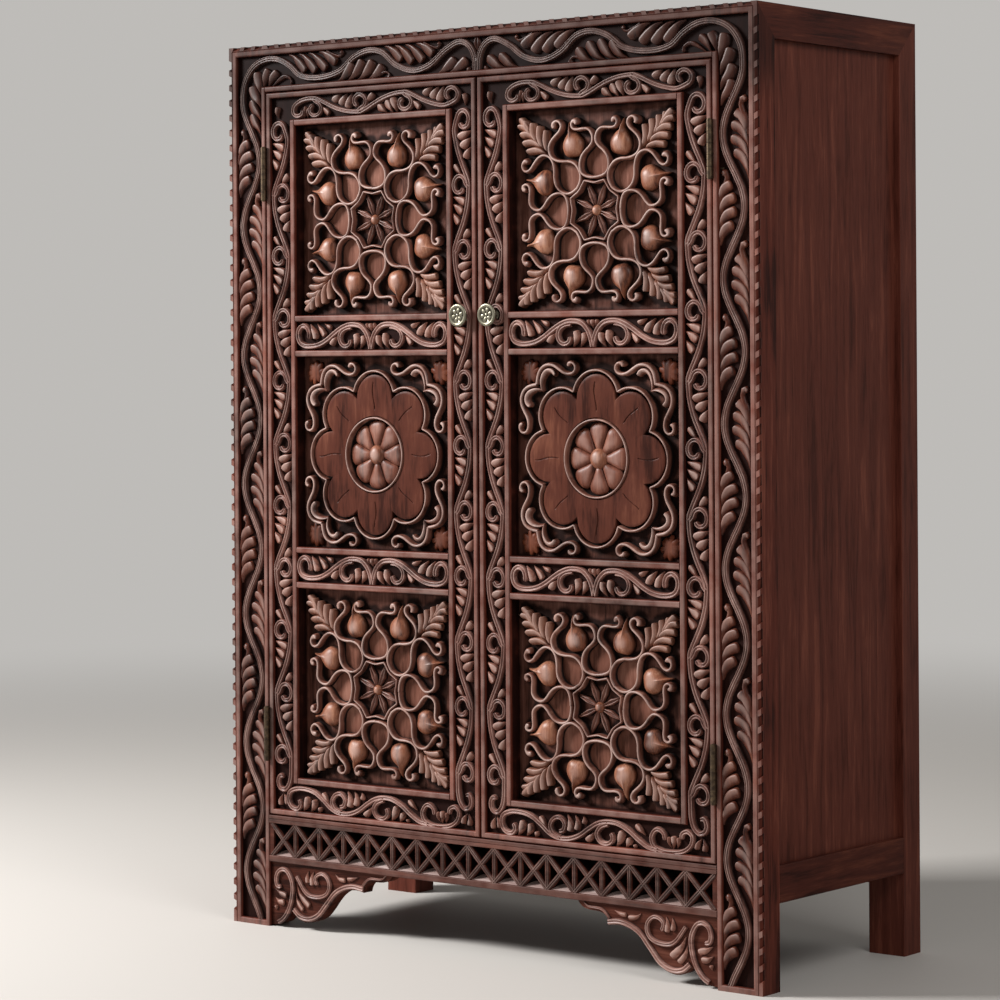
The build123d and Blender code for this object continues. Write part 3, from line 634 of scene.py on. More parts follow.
def wood(name, stretch, colours, rise="attribute", shading=0.9, wear_sheen=0.4, dips=(0, 0), blotch=0.5,
         gloss=0.3):
    """A wood: grain along a direction, painted shade, wear and painted highlight by the rise attribute, by
    depth or evenly.
    """
    material, tree, shader = start_material(name)
    grain = add_node(tree, "ShaderNodeGroup", node_tree=grain_group)
    grain.inputs["Stretch"].default_value = stretch
    grain.inputs["Blotch"].default_value = blotch
    for socket, colour in zip(("Dark", "Middle", "Light"), colours):
        grain.inputs[socket].default_value = tint(*colour)
    shading_node = add_node(tree, "ShaderNodeGroup", node_tree=shading_group)
    feed(tree, shading_node.inputs["Color"], grain.outputs["Color"])
    shading_node.inputs["Painted Shade Amount"].default_value = shading
    shading_node.inputs["Worn Highlight Amount"].default_value = wear_sheen
    shading_node.inputs["Top Shade Amount"].default_value = 0.0 if rise == "even" else TOP_SHADE
    if rise == "attribute":
        read = add_node(tree, "ShaderNodeAttribute", attribute_name="rise")
        feed(tree, shading_node.inputs["Rise"], read.outputs["Fac"])
    elif rise == "depth":
        level = add_node(tree, "ShaderNodeGroup", node_tree=depth_group)
        level.inputs["Shallow"].default_value = dips[0] * MM
        level.inputs["Deep"].default_value = dips[1] * MM
        feed(tree, shading_node.inputs["Rise"], level.outputs["Rise"])
    feed(tree, shader.inputs["Base Color"], shading_node.outputs["Color"])
    feed(tree, shader.inputs["Roughness"], shading_node.outputs["Roughness"])
    add_bump(tree, shader, grain.outputs["Height"], 0.0006, 0.25)
    shader.inputs["Specular IOR Level"].default_value = gloss
    return material


def plain_wood(name, stretch, colours, blotch=0.5):
    """A wood without painted shade, wear, highlight or the darker top, for the plain sides and the inside.
    """
    return wood(name, stretch, colours, "even", 0, 0.0, blotch=blotch, gloss=DULL)


print("a wood's grain is", UPRIGHT[0] / UPRIGHT[2], "times finer across than along")

# %% Colours of the woods
RED_BROWN = ((46, 19, 14), (90, 43, 33), (124, 69, 55))
VINE = ((52, 27, 22), (104, 69, 60), (148, 114, 105))
VINE_LEAF = ((44, 18, 12), (82, 40, 28), (114, 66, 48))
CARVED = ((58, 31, 24), (108, 69, 60), (150, 110, 99))
LEAF = ((60, 31, 24), (108, 66, 54), (148, 104, 90))
LIGHT_CARVED = ((68, 38, 31), (124, 84, 74), (166, 126, 115))
LIGHT_LEAF = ((70, 38, 30), (124, 81, 68), (164, 119, 105))
LATTICE_BROWN = ((36, 16, 12), (70, 35, 27), (100, 57, 46))
SIDE_BROWN = ((66, 31, 23), (92, 47, 37), (118, 66, 52))
SIDE_RAIL_BROWN = ((42, 18, 13), (72, 34, 26), (98, 52, 38))
BRACKET_BROWN = ((40, 18, 13), (74, 38, 29), (104, 62, 50))
DARK_BOARD = ((34, 16, 13), (62, 30, 23), (86, 46, 34))
# Depths in mm below the front where a sunk field's painted shade starts and where it is full.
FACE_DIPS = (0.4, 6)
POCKET_DIPS = (1.2, 6.5)
post_wood = wood("Post wood", UPRIGHT, RED_BROWN, "depth", wear_sheen=0.3, dips=FACE_DIPS, blotch=0.4, gloss=DULL)
rail_wood = wood("Rail wood", LEVEL, RED_BROWN, "depth", wear_sheen=0.35, dips=FACE_DIPS, blotch=0.4, gloss=DULL)
# The lattice's pockets get a strong painted shade.
lattice_wood = wood("Lattice rail wood", LEVEL, LATTICE_BROWN, "depth", 1.6, 0.15, POCKET_DIPS, gloss=DULL)
side_wood = plain_wood("Side board wood", UPRIGHT, SIDE_BROWN, blotch=0.3)
side_rail_wood = plain_wood("Side rail wood", ENDWISE, SIDE_RAIL_BROWN)
bracket_wood = plain_wood("Bracket ground wood", LEVEL, BRACKET_BROWN)
inner_wood = plain_wood("Inside board wood", LEVEL, DARK_BOARD)
back_wood = plain_wood("Back board wood", UPRIGHT, DARK_BOARD)
vine_wood = wood("Vine wood", UPRIGHT, VINE, wear_sheen=0.8)
vine_leaf_wood = wood("Vine leaf wood", UPRIGHT, VINE_LEAF, wear_sheen=0.25, gloss=0.2)
stem_wood = wood("Carved stem wood", UPRIGHT, CARVED, wear_sheen=0.6)
leaf_wood = wood("Carved leaf wood", UPRIGHT, LEAF, wear_sheen=0.45, gloss=0.2)
level_stem_wood = wood("Carved rail stem wood", LEVEL, LIGHT_CARVED, wear_sheen=0.8)
level_leaf_wood = wood("Carved rail leaf wood", LEVEL, LIGHT_LEAF, wear_sheen=0.6, gloss=0.2)
print(len(bpy.data.materials), "woods")

# %% [markdown]
# ## Brass, steel and plastic
# The knobs and hinges are brass that has gone dull: a noise mixes the metal's own colour with a
# stain, and where it is stained it is rougher. On the cast knobs `rise` darkens the hollows as well.

# %% Metal and plastic
def brass(name, colour, dark, roughness, hollow=False):
    """Old metal: bright where it is handled, stained in places, and black in the hollows of a casting."""
    material, tree, shader = start_material(name)
    spot = add_node(tree, "ShaderNodeTexCoord").outputs["Object"]
    share = ramp(tree, noise(tree, spot, 160.0, 4.0), 0.35, 0.65, "LINEAR")
    stained = mix_colour(tree, share, tint(*dark), tint(*colour))
    if hollow:
        read = add_node(tree, "ShaderNodeAttribute", attribute_name="rise")
        deep = ramp(tree, read.outputs["Fac"], 0.0, 0.7)
        stained = mix_colour(tree, deep, tint(48, 44, 36), stained)
    feed(tree, shader.inputs["Base Color"], stained)
    feed(tree, shader.inputs["Roughness"], calc(tree, "MULTIPLY_ADD", share, -0.15, roughness))
    shader.inputs["Metallic"].default_value = 0.9
    return material


def moulded(name, colour, speckle):
    """Moulded plastic with a fine even texture."""
    material, tree, shader = start_material(name)
    spot = add_node(tree, "ShaderNodeTexCoord").outputs["Object"]
    fine = noise(tree, spot, 900.0)
    feed(tree, shader.inputs["Base Color"], mix_colour(tree, fine, tint(*colour), tint(*speckle)))
    feed(tree, shader.inputs["Roughness"], calc(tree, "MULTIPLY_ADD", fine, 0.15, 0.45))
    add_bump(tree, shader, fine, 0.0001)
    return material


hinge_brass = brass("Hinge brass", (98, 82, 64), (58, 47, 38), 0.5)
knob_brass = brass("Knob brass", (140, 135, 118), (104, 100, 85), 0.44, hollow=True)
steel = brass("Catch steel", (150, 150, 150), (90, 90, 92), 0.4)
plastic = moulded("Catch body", (34, 32, 30), (58, 55, 52))
print(len(bpy.data.materials), "materials")


# %% Dress the frame's own pieces
def dress(node, material):
    """Give one of the frame's pieces its finish."""
    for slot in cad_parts[node].material_slots:
        slot.material = material


FINISHES = (
    (("front_post", "hinge_stile", "meeting_stile"), post_wood),
    (("lattice_rail",), lattice_wood),
    (("front_top_rail", "door_top_rail", "door_bottom_rail", "lower_rail", "upper_rail"), rail_wood),
    (("bracket",), bracket_wood),
    (("side_panel",), side_wood),
    (("side_top_rail", "side_bottom_rail"), side_rail_wood),
    (("rear_post",), side_wood),
    (("back_panel", "back_muntin"), back_wood),
    (("back_top_rail", "back_bottom_rail", "board", "shelf", "door_stop"), inner_wood),
    (("bottom_panel", "middle_panel", "top_panel"), post_wood),
    (("hinge_frame", "hinge_pins", "hinge_leaves", "hinge_screws"), hinge_brass),
    (("knob",), knob_brass),
    (("strike_plate", "knob_bolt"), steel),
    (("catch_magnets",), plastic),
)
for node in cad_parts:
    for keys, material in FINISHES:
        if any(key in node for key in keys):
            dress(node, material)
            break
    else:
        dress(node, inner_wood)
print("dressed", len(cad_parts), "pieces by", len(FINISHES), "rules")

# %% [markdown]
# ## Where a drawing goes
# The left half of the front was drawn from its top left corner: so far across, so far down. The
# right half is its mirror, except on the doors' top and bottom rails, whose pattern is repeated.

# %% Places
def left_half(across, down):
    return across - half_width, height - down


def right_half(across, down):
    return half_width - across, height - down


HALVES = {"left": left_half, "right": right_half}
print("the middle of the front is", half_width, "mm from either side")

# %% [markdown]
# ## The running vine on the posts and the top rail
# A wavy stem with three ridges runs up each post, round the corner and along the rail to the
# middle. In each bay that the stem leaves open, a fan of comma leaves grows from the bead towards
# the stem and a small curl closes the bay. The wave is a cosine, so the stem and the leaf ends,
# which keep a small gap from it, come from the same function.

# %% Border vine
VINE_PITCH = 205.6
VINE_TOP = 82.0
VINE_CENTRE = 44.0
VINE_SWING = 18.4
VINE_WIDTH = 10.6
VINE_CORNER = (
    (27, 82), (32, 57), (49, 34), (75, 23), (104, 24), (130, 36), (151, 52), (190, 58), (235, 50),
    (265, 30), (295, 22), (322, 27), (350, 48), (385, 59), (418, 52), (448, 32), (477, 21), (495, 28),
    (505, 45), (507, 66))
BORDER_EDGES = (18.0, 68.5)
POST_BAYS = 12
LEAF_TIPS = (26, 6.5, -13, -31.5)
LEAF_CLEARANCE = 14
LEAST_REACH = 17
RIGHT_FAN = (42, 18)
LEFT_FAN = (29, 17.5)


def vine_across(down):
    """How far across the post the stem's middle is at a height."""
    return VINE_CENTRE - VINE_SWING * math.cos(2 * math.pi * (down - VINE_TOP) / VINE_PITCH)


def post_leaves(leaves, place, middle, outer_bay, drop, width):
    """The comma leaves of one bay on a post, their feet hung by a drop, and the curl above them."""
    edge = BORDER_EDGES[0] if outer_bay else BORDER_EDGES[1]
    toward = 1 if outer_bay else -1
    for offset in LEAF_TIPS:
        tip = middle + offset
        reach = max(LEAST_REACH, abs(vine_across(tip) - edge) - LEAF_CLEARANCE)
        points = [(edge, tip + drop), (edge + toward * (1 + reach * 0.1), tip + drop * 0.55),
                  (edge + toward * (1 + reach * 0.45), tip + drop * 0.16), (edge + toward * reach, tip)]
        leaves.comma(points, width, place)
    leaves.curl([(edge, middle + 2), (edge + toward * 3, middle - 16), (edge + toward * 10, middle - 31),
                 (edge + toward * 13, middle - 42), (edge + toward * 8, middle - 49),
                 (edge + toward * 6, middle - 44)], 8, 6.2, place, swell=EVEN)


def draw_vine(stems, leaves, place):
    """The vine of one half of the front, from the floor up and along the rail, with its post leaves."""
    downs = np.arange(height - 3, VINE_TOP, -VINE_PITCH / 10)
    line = [(vine_across(down), down) for down in downs]
    stems.add([*line, *VINE_CORNER], VINE_WIDTH, place=place)
    for bay in range(POST_BAYS):
        middle = VINE_TOP + VINE_PITCH / 2 * (bay + 1)
        if middle < height:
            on_right_bead = (place is left_half) == (bay % 2 == 1)
            fan = RIGHT_FAN if on_right_bead else LEFT_FAN
            post_leaves(leaves, place, middle, bay % 2 == 0, *fan)


print("the vine swings", 2 * VINE_SWING, "mm across the posts every", VINE_PITCH, "mm")

# %% Leaves on the top rail and in the corner
TOP_FANS = (
    (BORDER_EDGES[0] - 1, ((125, 161, 47), (146, 183, 48), (167, 205, 46), (189, 226, 37))),
    (BORDER_EDGES[1] - 1, ((228, 260, 39), (249, 281, 36), (270, 302, 38), (292, 322, 46))),
    (BORDER_EDGES[0] - 1, ((325, 360, 42), (346, 382, 47), (367, 403, 46), (388, 423, 37))),
    (BORDER_EDGES[1] - 1, ((432, 467, 46), (455, 490, 48))),
)
TOP_LEAF_WIDTH = 18.5
TOP_CURLS = ((232, 18, 1), (328, 67, -1), (430, 18, 1))
CORNER_LEAVES = (
    (((66, 144), (60, 132), (51, 122), (45, 108)), 18),
    (((67, 122), (60, 110), (50, 100), (44, 86)), 19),
    (((67, 100), (61, 88), (53, 78), (47, 63)), 20),
    (((68, 80), (64, 66), (60, 54), (58, 41)), 20),
    (((72, 68), (74, 58), (77, 48), (83, 38)), 16),
    (((82, 68), (87, 58), (93, 50), (102, 43)), 15),
)


def top_rail_leaves(leaves, place):
    """The comma leaves on the top rail: a fan in each bay, hanging down or growing up."""
    for edge, fan in TOP_FANS:
        for foot, tip, depth in fan:
            rise = depth - edge
            leaves.comma([(foot, edge + 0.04 * rise), (foot + 11, edge + 0.18 * rise),
                          (foot + 22, edge + 0.5 * rise), (tip, depth)], TOP_LEAF_WIDTH, place)
    for across, edge, sign in TOP_CURLS:
        leaves.curl([(across - 26, edge), (across - 12, edge + sign * 6), (across, edge + sign * 9),
                     (across + 7, edge + sign * 4), (across + 2, edge + sign * 1)], 5.5, 3.8, place)


def corner_leaves(leaves, place):
    """The fan that turns the corner inside the stem."""
    for points, width in CORNER_LEAVES:
        leaves.comma(points, width, place)
    leaves.curl([(90, 67), (105, 57), (118, 52), (129, 57), (130, 65)], 8, 3, place, swell=SLIVER)


def crest(leaves, place):
    """Half of the pointed bud in the middle of the rail, and its ball."""
    leaves.curl([(510, 36), (507, 28), (507, 21), (510, 15)], 7, 1.2, place, swell=SLIVER)
    leaves.curl([(492, 67), (497, 61)], 7, 4.5, place)


vine_stems, vine_leaves = Drawing(), Drawing()
for place in HALVES.values():
    draw_vine(vine_stems, vine_leaves, place)
    top_rail_leaves(vine_leaves, place)
    corner_leaves(vine_leaves, place)
    crest(vine_leaves, place)
print(len(vine_leaves.strokes), "leaves and curls on the border")


# %% Finish a carved piece
def keep(name, meshes, body, replaced=()):
    """Join meshes into one piece, fix it to its body and hide the frame's pieces that it replaces."""
    piece = join_meshes(name, meshes)
    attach(piece, body)
    if replaced:
        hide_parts(*replaced)
    triangles = sum(len(face.vertices) - 2 for face in piece.data.polygons)
    print(name, "has", triangles, "triangles")


STEM = {"Height": 8.3 * MM, "Full Half Width": 4 * MM, "Grooves": 2.0, "Groove Depth": 0.26,
        "Flatness": 5.0, "Points": 16}
BLADE = {"Height": 7.0 * MM, "Full Half Width": 6 * MM, "Grooves": 0.0, "Groove Depth": 0.0,
         "Flatness": 3.6, "Points": 10, "Lean": 0.32}
keep("border_vine", [*carve(vine_stems, STEM, vine_wood),
                     *carve(vine_leaves, BLADE, vine_leaf_wood)], "carcass")

# %% [markdown]
# ## The scrolls on the door stiles
# One unit repeats down each stile and flips sides each time: the stem swings across the field, a
# spiral springs back from the place where it turns, and three leaves fill the bay under the spiral.
# It is drawn once, with s along the stile and t across it towards the bay, so that the stiles and
# the top rail use the same lines at their own sizes.

# %% The scroll unit
UNIT_STEM = ((0, -14.3), (17, -13.9), (32, -11.8), (52, -6.0), (67, 0.5), (82, 8.0), (92, 12.6))
UNIT_LENGTH = 97.0
UNIT_HALF = 19.8
SCROLL_WIDTH = 10.0


class Run:
    """A row of scroll units along a straight field."""

    def __init__(self, put, length, half, first_side):
        self.put = put
        self.length = length
        self.half = half
        self.first_side = first_side

    def place(self, unit):
        """The place for drawings of one unit: its own s and t, scaled to this field."""
        side = self.first_side * (1 if unit % 2 == 0 else -1)
        along = self.length / UNIT_LENGTH
        across = self.half / UNIT_HALF

        def put(s, t):
            return self.put(unit * self.length + s * along, side * t * across)
        return put


RING_SPOT = (3.5, 3.6)
RING_RADII = (14.0, 12.4)
TIGHTENING = 0.4


def ring_points(start, end, steps=11):
    """A spiral from the stem backwards and over, in degrees; it tightens after half a turn."""
    points = []
    for angle in np.linspace(start, end, steps):
        share = 1 - TIGHTENING * max(0, (angle - 190) / 145)
        turned = math.radians(angle)
        points.append((RING_SPOT[0] - RING_RADII[0] * share * math.sin(turned),
                       RING_SPOT[1] - RING_RADII[1] * share * math.cos(turned)))
    return points


def spiral(stems, put, width=SCROLL_WIDTH * 0.9, ball=4.8):
    """The spiral that springs back from the start of a unit."""
    stems.curl([(7, -14)] + ring_points(12, 335), width, ball, put, swell=EVEN)


print("a unit is", UNIT_LENGTH, "mm long and its spiral has", len(ring_points(12, 335)), "points")

# %% Rows of units
SCROLL_LEAVES = ((20.5, 30, -6.5, 15), (31, 44.5, -0.5, 16), (44, 61, 7, 14.5))
BEAD = 19.5


def scroll_leaves(leaves, put):
    """Three leaves under the spiral and the one in the notch behind it."""
    for foot, tip_s, tip_t, width in SCROLL_LEAVES:
        reach = tip_s - foot
        bend = BEAD - tip_t
        leaves.comma([(foot, BEAD), (foot + 0.22 * reach, BEAD - 0.25 * bend),
                      (foot + 0.6 * reach, BEAD - 0.62 * bend), (tip_s, tip_t)], width, put)
    leaves.comma([(88, 0.5), (80, -6.5), (70, -15.5)], 12, put)


def draw_run(stems, leaves, run, count):
    """A row of units with a spiral and leaves for each. It gives back the line of its one stem."""
    first = run.place(0)
    line = [first(s, t) for s, t in reversed(ring_points(15, 335))]
    for unit in range(count):
        put = run.place(unit)
        line += [put(s, t) for s, t in (UNIT_STEM if unit else UNIT_STEM[1:])]
        scroll_leaves(leaves, put)
        if unit:
            spiral(stems, put)
    return line


STILE_END = ((0, -14.3), (18, -14.3), (36, -13.4), (50, -8.5), (57, 0), (54, 9), (45, 12.5),
             (36, 8.5), (37, 1))


def end_stile(stems, leaves, run, count, line):
    """The last turn of a stile's stem, closing in a spiral with a bud under it."""
    put = run.place(count)
    line += [put(s, t) for s, t in STILE_END]
    stems.add(line, SCROLL_WIDTH, balls=(4.2, 4.2))
    spiral(stems, put)
    leaves.comma([(64, 3), (72, -3), (80, -5)], 9, put)
    leaves.comma([(64, 5), (74, 9), (82, 8)], 9, put)


STILE_TOP = 136.0
STILE_UNIT = 98.7
STILE_UNITS = 10
door_stile = {"meeting": span("left_door_meeting_stile"), "hinge": span("left_door_hinge_stile")}
STILE_BEADS = {"meeting": (10.0, 10.5), "hinge": (9.0, 10.5)}


def stile_run(stile, place):
    """The run down one stile's field."""
    left, right = door_stile[stile][:2]
    left_edge = left + STILE_BEADS[stile][0]
    right_edge = right - STILE_BEADS[stile][1]
    middle = (left_edge + right_edge) / 2 + half_width
    half = (right_edge - left_edge) / 2
    first_side = 1 if stile == "meeting" else -1
    return Run(lambda s, t: place(middle + t, STILE_TOP + s), STILE_UNIT, half, first_side)


def draw_stiles(stems, leaves, place):
    """Both stiles of one door."""
    for stile in ("meeting", "hinge"):
        run = stile_run(stile, place)
        line = draw_run(stems, leaves, run, STILE_UNITS)
        end_stile(stems, leaves, run, STILE_UNITS, line)
        leaves.comma([(-18, 6), (-27, 8), (-36, 6)], 9, run.place(0))


print("a stile has", STILE_UNITS, "units of", STILE_UNIT, "mm")

# %% [markdown]
# ## The scrolls on the door rails
# The top rail uses the same unit, lying down. The middle rails are drawn as one half and mirrored
# about their middle, and the bottom rail has its own line with a double scroll at its end.

# %% The top rail
DOOR_EDGE = {"left": 79.5, "right": 511.5}
TOP_RAIL_START = 383.5
TOP_RAIL_UNIT = 92.5
TOP_RAIL_MIDDLE = 103.2
TOP_RAIL_HALF = 17.4
TOP_RAIL_UNITS = 3
TOP_RAIL_END = ((0, -14.3), (20, -15), (38, -11), (50, -2), (51, 9), (42, 15), (32, 11), (31, 4))


def door_place(side):
    """A place measured across from a door's left edge, the same for both doors."""
    return lambda across, down: (across + DOOR_EDGE[side] - half_width, height - down)


def draw_top_rail(stems, leaves, side):
    """Three units from the right, then an arch that closes in a small spiral."""
    place = door_place(side)
    run = Run(lambda s, t: place(TOP_RAIL_START - s, TOP_RAIL_MIDDLE - t), TOP_RAIL_UNIT, TOP_RAIL_HALF, 1)
    line = draw_run(stems, leaves, run, TOP_RAIL_UNITS)
    put = run.place(TOP_RAIL_UNITS)
    line += [put(s, t) for s, t in TOP_RAIL_END]
    stems.add(line, 9.0, balls=(3.6, 3.6))
    spiral(stems, put, 7.8, 4.0)
    leaves.comma([(22, 19), (21, 10), (17, 2)], 7, put)
    leaves.comma([(30, 19), (27, 8), (25, -2)], 6, put)


print("the top rail's units are", TOP_RAIL_UNIT, "mm long")

# %% The middle rails
PANEL_MIDDLE = 215.0
MIDDLE_RAIL_HEIGHT = 65.0
MIDDLE_STEM = ((128, -5), (127.5, 4), (132, 13), (141, 16), (149, 11), (151.5, 1), (147, -10), (136, -15.5),
               (120, -16), (105, -13), (90, -6), (76, 3), (62, 11), (48, 16), (34, 17), (20, 14), (9, 4),
               (3, -9), (0, -21))
MIDDLE_RING = ((40, 13), (52, 11), (61, 5), (64, -4), (60, -13), (51, -17), (43, -13), (41, -6))
MIDDLE_LEAVES = (
    (((127, 19), (121, 12), (116, 4), (114, -5)), 10),
    (((113, 19), (106, 12), (100, 5), (97, -1)), 10),
    (((98, 19), (90, 15), (82, 12)), 7),
    (((36, -21), (31, -13), (29, -5), (31, 3)), 10),
    (((23, -21), (18, -14), (15, -7), (16, 0)), 8.5),
    (((68, 0), (75, -7), (82, -15)), 9.5),
    (((0, 6), (0, 13), (0, 19)), 7),
    (((3, 9), (7, 14), (8, 19)), 5.5),
)
MIDDLE_LEAF_GROWTH = 1.25


def draw_middle_rail(stems, leaves, node):
    """Both halves of a middle rail."""
    left, right, bottom, top = span(node)
    middle_x = PANEL_MIDDLE if left > 0 else -PANEL_MIDDLE
    middle_z = (bottom + top) / 2
    stretch = (top - bottom) / MIDDLE_RAIL_HEIGHT
    for sign in (-1, 1):
        def put(a, b):
            return middle_x + sign * a, middle_z + b * stretch
        stems.curl(MIDDLE_STEM[::-1], 10.4, 5.4, put, swell=EVEN)
        stems.curl(MIDDLE_RING, 9.0, 4.8, put, swell=EVEN)
        for points, width in MIDDLE_LEAVES:
            leaves.comma(points, width * MIDDLE_LEAF_GROWTH, put)


print("each half of a middle rail has", len(MIDDLE_LEAVES), "leaves")

# %% The bottom rail
BOTTOM_STEM = (
    (60, 1194), (64, 1202), (57, 1210), (45, 1207), (38, 1196), (41, 1184), (54, 1178), (74, 1177),
    (94, 1181), (113, 1192), (128, 1203), (144, 1209), (164, 1209), (184, 1202), (201, 1191),
    (217, 1182), (234, 1178), (254, 1179), (274, 1187), (292, 1199), (309, 1208), (325, 1211))
BOTTOM_SCROLL = ((339, 1196), (336, 1185), (324, 1181), (315, 1192), (318, 1204), (332, 1211), (353, 1212),
                 (373, 1208), (385, 1198), (387, 1186), (379, 1180), (369, 1184), (368, 1192))
BOTTOM_RINGS = (((148, 1208), (136, 1203), (130, 1192), (137, 1181), (149, 1179), (157, 1187), (154, 1197),
                 (146, 1199)),
                ((236, 1181), (222, 1187), (216, 1198), (223, 1208), (236, 1210), (245, 1202), (242, 1193)))
BOTTOM_LEAVES = (
    (((68, 1213), (74, 1205), (77, 1196), (79, 1189)), 11),
    (((84, 1213), (90, 1206), (93, 1199), (92, 1192)), 9.5),
    (((100, 1213), (104, 1208), (104, 1203)), 7),
    (((161, 1173), (166, 1181), (168, 1190), (165, 1198)), 10),
    (((175, 1173), (180, 1180), (181, 1188), (178, 1195)), 9),
    (((190, 1173), (193, 1179), (192, 1185)), 7),
    (((251, 1213), (257, 1205), (260, 1196), (263, 1189)), 11),
    (((268, 1213), (273, 1206), (276, 1198)), 9),
    (((283, 1213), (286, 1207)), 6.5),
    (((124, 1198), (117, 1190), (109, 1181)), 9.5),
    (((212, 1194), (206, 1202), (197, 1209)), 9.5),
    (((302, 1192), (294, 1185), (286, 1178)), 9),
    (((352, 1207), (354, 1198), (354, 1188)), 8),
    (((349, 1206), (345, 1198), (346, 1190)), 5.5),
    (((359, 1206), (362, 1198), (362, 1190)), 5.5),
)
BOTTOM_LEAF_GROWTH = 1.2


def draw_bottom_rail(stems, leaves, side):
    """The bottom rail, the same way round on both doors."""
    place = door_place(side)
    stems.add(BOTTOM_STEM, 9.4, balls=(4.2, 0), place=place)
    stems.add(BOTTOM_SCROLL, 8.6, balls=(4.0, 4.2), place=place)
    for points in BOTTOM_RINGS:
        stems.curl(points, 8.8, 4.6, place, swell=EVEN)
    for points, width in BOTTOM_LEAVES:
        leaves.comma(points, width * BOTTOM_LEAF_GROWTH, place)


print("the bottom rail has", len(BOTTOM_LEAVES), "leaves")

# %% Carve the doors' frames
SCROLL = {"Height": 8.2 * MM, "Full Half Width": 3.4 * MM, "Grooves": 1.0, "Groove Depth": 0.3,
          "Flatness": 4.4, "Points": 12}
SMALL_BLADE = {**BLADE, "Full Half Width": 4.5 * MM}
for side in ("left", "right"):
    stile_stems, stile_leaves = Drawing(), Drawing()
    draw_stiles(stile_stems, stile_leaves, HALVES[side])
    keep(f"{side}_door_stile_scrolls",
         [*carve(stile_stems, SCROLL, stem_wood), *carve(stile_leaves, SMALL_BLADE, leaf_wood)],
         f"{side}_door")
    rail_stems, rail_leaves = Drawing(), Drawing()
    draw_top_rail(rail_stems, rail_leaves, side)
    draw_middle_rail(rail_stems, rail_leaves, f"{side}_door_lower_rail")
    draw_middle_rail(rail_stems, rail_leaves, f"{side}_door_upper_rail")
    draw_bottom_rail(rail_stems, rail_leaves, side)
    keep(f"{side}_door_rail_scrolls",
         [*carve(rail_stems, SCROLL, level_stem_wood), *carve(rail_leaves, SMALL_BLADE, level_leaf_wood)],
         f"{side}_door")

# %% [markdown]
# ## Rounded motifs
# Buds, petals and bosses are not strokes: each rises from its own outline to a rounded top. The
# outline is drawn once, and rings of it shrink towards the middle as they rise. A second tree then
# puts copies of a motif on points, each turned by a number that its point carries.

# %% Rounded motifs
DOME_RINGS = (1.0, 0.985, 0.94, 0.86, 0.74, 0.58, 0.38, 0.18)


def dome(name, outline, height, crown=2.0, foot=0.0):
    """A motif in mm: it rises from its outline about (0, 0) to a rounded top, and is closed below."""
    outline = np.array(outline, float)
    count = len(outline)
    points = [(x, y, -BACK_INTO_GROUND) for x, y in outline]
    rises = [0.0] * count
    for share in DOME_RINGS:
        rise = foot + (1 - foot) * math.sqrt(1 - share ** crown)
        points += [(x * share, y * share, rise * height) for x, y in outline]
        rises += [rise] * count
    points += [(0, 0, height), (0, 0, -BACK_INTO_GROUND)]
    rises += [1.0, 0.0]
    faces = []
    last = len(DOME_RINGS) * count
    for low in range(0, last, count):
        for a in range(count):
            b = (a + 1) % count
            faces.append((low + a, low + b, low + count + b, low + count + a))
    for a in range(count):
        b = (a + 1) % count
        faces.append((last + a, last + b, last + count))
        faces.append((b, a, last + count + 1))
    mesh = bpy.data.meshes.new(name)
    mesh.from_pydata([(x * MM, y * MM, z * MM) for x, y, z in points], [], faces)
    mesh.attributes.new("rise", "FLOAT", "POINT").data.foreach_set("value", rises)
    return mesh


def mirrored_outline(half):
    """A closed outline from its right half, given as (along, half width) from foot to tip."""
    right = smooth_line([(width, along) for along, width in half])[::3]
    left = [(-x, y) for x, y in right[::-1] if x > 0.05]
    return [tuple(point) for point in right] + left


def circle(radius, count=28):
    angles = [math.tau * n / count for n in range(count)]
    return [(radius * math.cos(angle), radius * math.sin(angle)) for angle in angles]


print("a motif rises in", len(DOME_RINGS), "rings")


# %% Copies on points
def make_motif_tree():
    """Copies of one motif on points, each turned by 'turn'."""
    tree, given, out = new_tree("Placed motifs", "GeometryNodeTree", (
        ("Geometry", "Geometry", None), ("Motif", "Object", None), ("Material", "Material", None),
    ), (("Geometry", "Geometry", None),))
    motif = add_node(tree, "GeometryNodeObjectInfo")
    feed(tree, motif.inputs["Object"], given["Motif"])
    rotation = add_node(tree, "ShaderNodeCombineXYZ")
    feed(tree, rotation.inputs["Z"], stored(tree, "turn"))
    copies = add_node(tree, "GeometryNodeInstanceOnPoints")
    feed(tree, copies.inputs["Points"], given["Geometry"])
    feed(tree, copies.inputs["Instance"], motif.outputs["Geometry"])
    feed(tree, copies.inputs["Rotation"], rotation.outputs[0])
    hand_out(tree, copies.outputs[0], given["Material"], out["Geometry"])
    return tree


motif_tree = make_motif_tree()


def place_motifs(motif_mesh, spots, ground, material):
    """Copies of a motif at spots (x, z, turn in degrees) on a ground at some depth."""
    points = bpy.data.meshes.new("spots")
    level = -front_y - ground * MM
    points.from_pydata([(x * MM, z * MM, level) for x, z, turn in spots], [], [])
    turns = [math.radians(turn) for x, z, turn in spots]
    points.attributes.new("turn", "FLOAT", "POINT").data.foreach_set("value", turns)
    motif = new_object("motif", motif_mesh)
    mesh = run_tree(new_object("spots", points), motif_tree, {"Motif": motif, "Material": material})
    bpy.data.objects.remove(motif)
    tidy_mesh(mesh)
    return mesh


def turned_point(angle, radius):
    """A point about the middle: the angle runs clockwise from straight up."""
    return radius * math.sin(math.radians(angle)), radius * math.cos(math.radians(angle))


def round_place(middle, turn):
    """A place for drawings about a middle, given as angle and radius and turned as a whole."""
    def put(angle, radius):
        a, b = turned_point(turn + angle, radius)
        return middle[0] + a, middle[1] + b
    return put


def ring_spots(middle, radius, turns):
    """Spots at a radius about a middle, each turned outwards."""
    return [(*round_place(middle, turn)(0, radius), -turn) for turn in turns]


print("the motif tree has", len(motif_tree.nodes), "nodes")

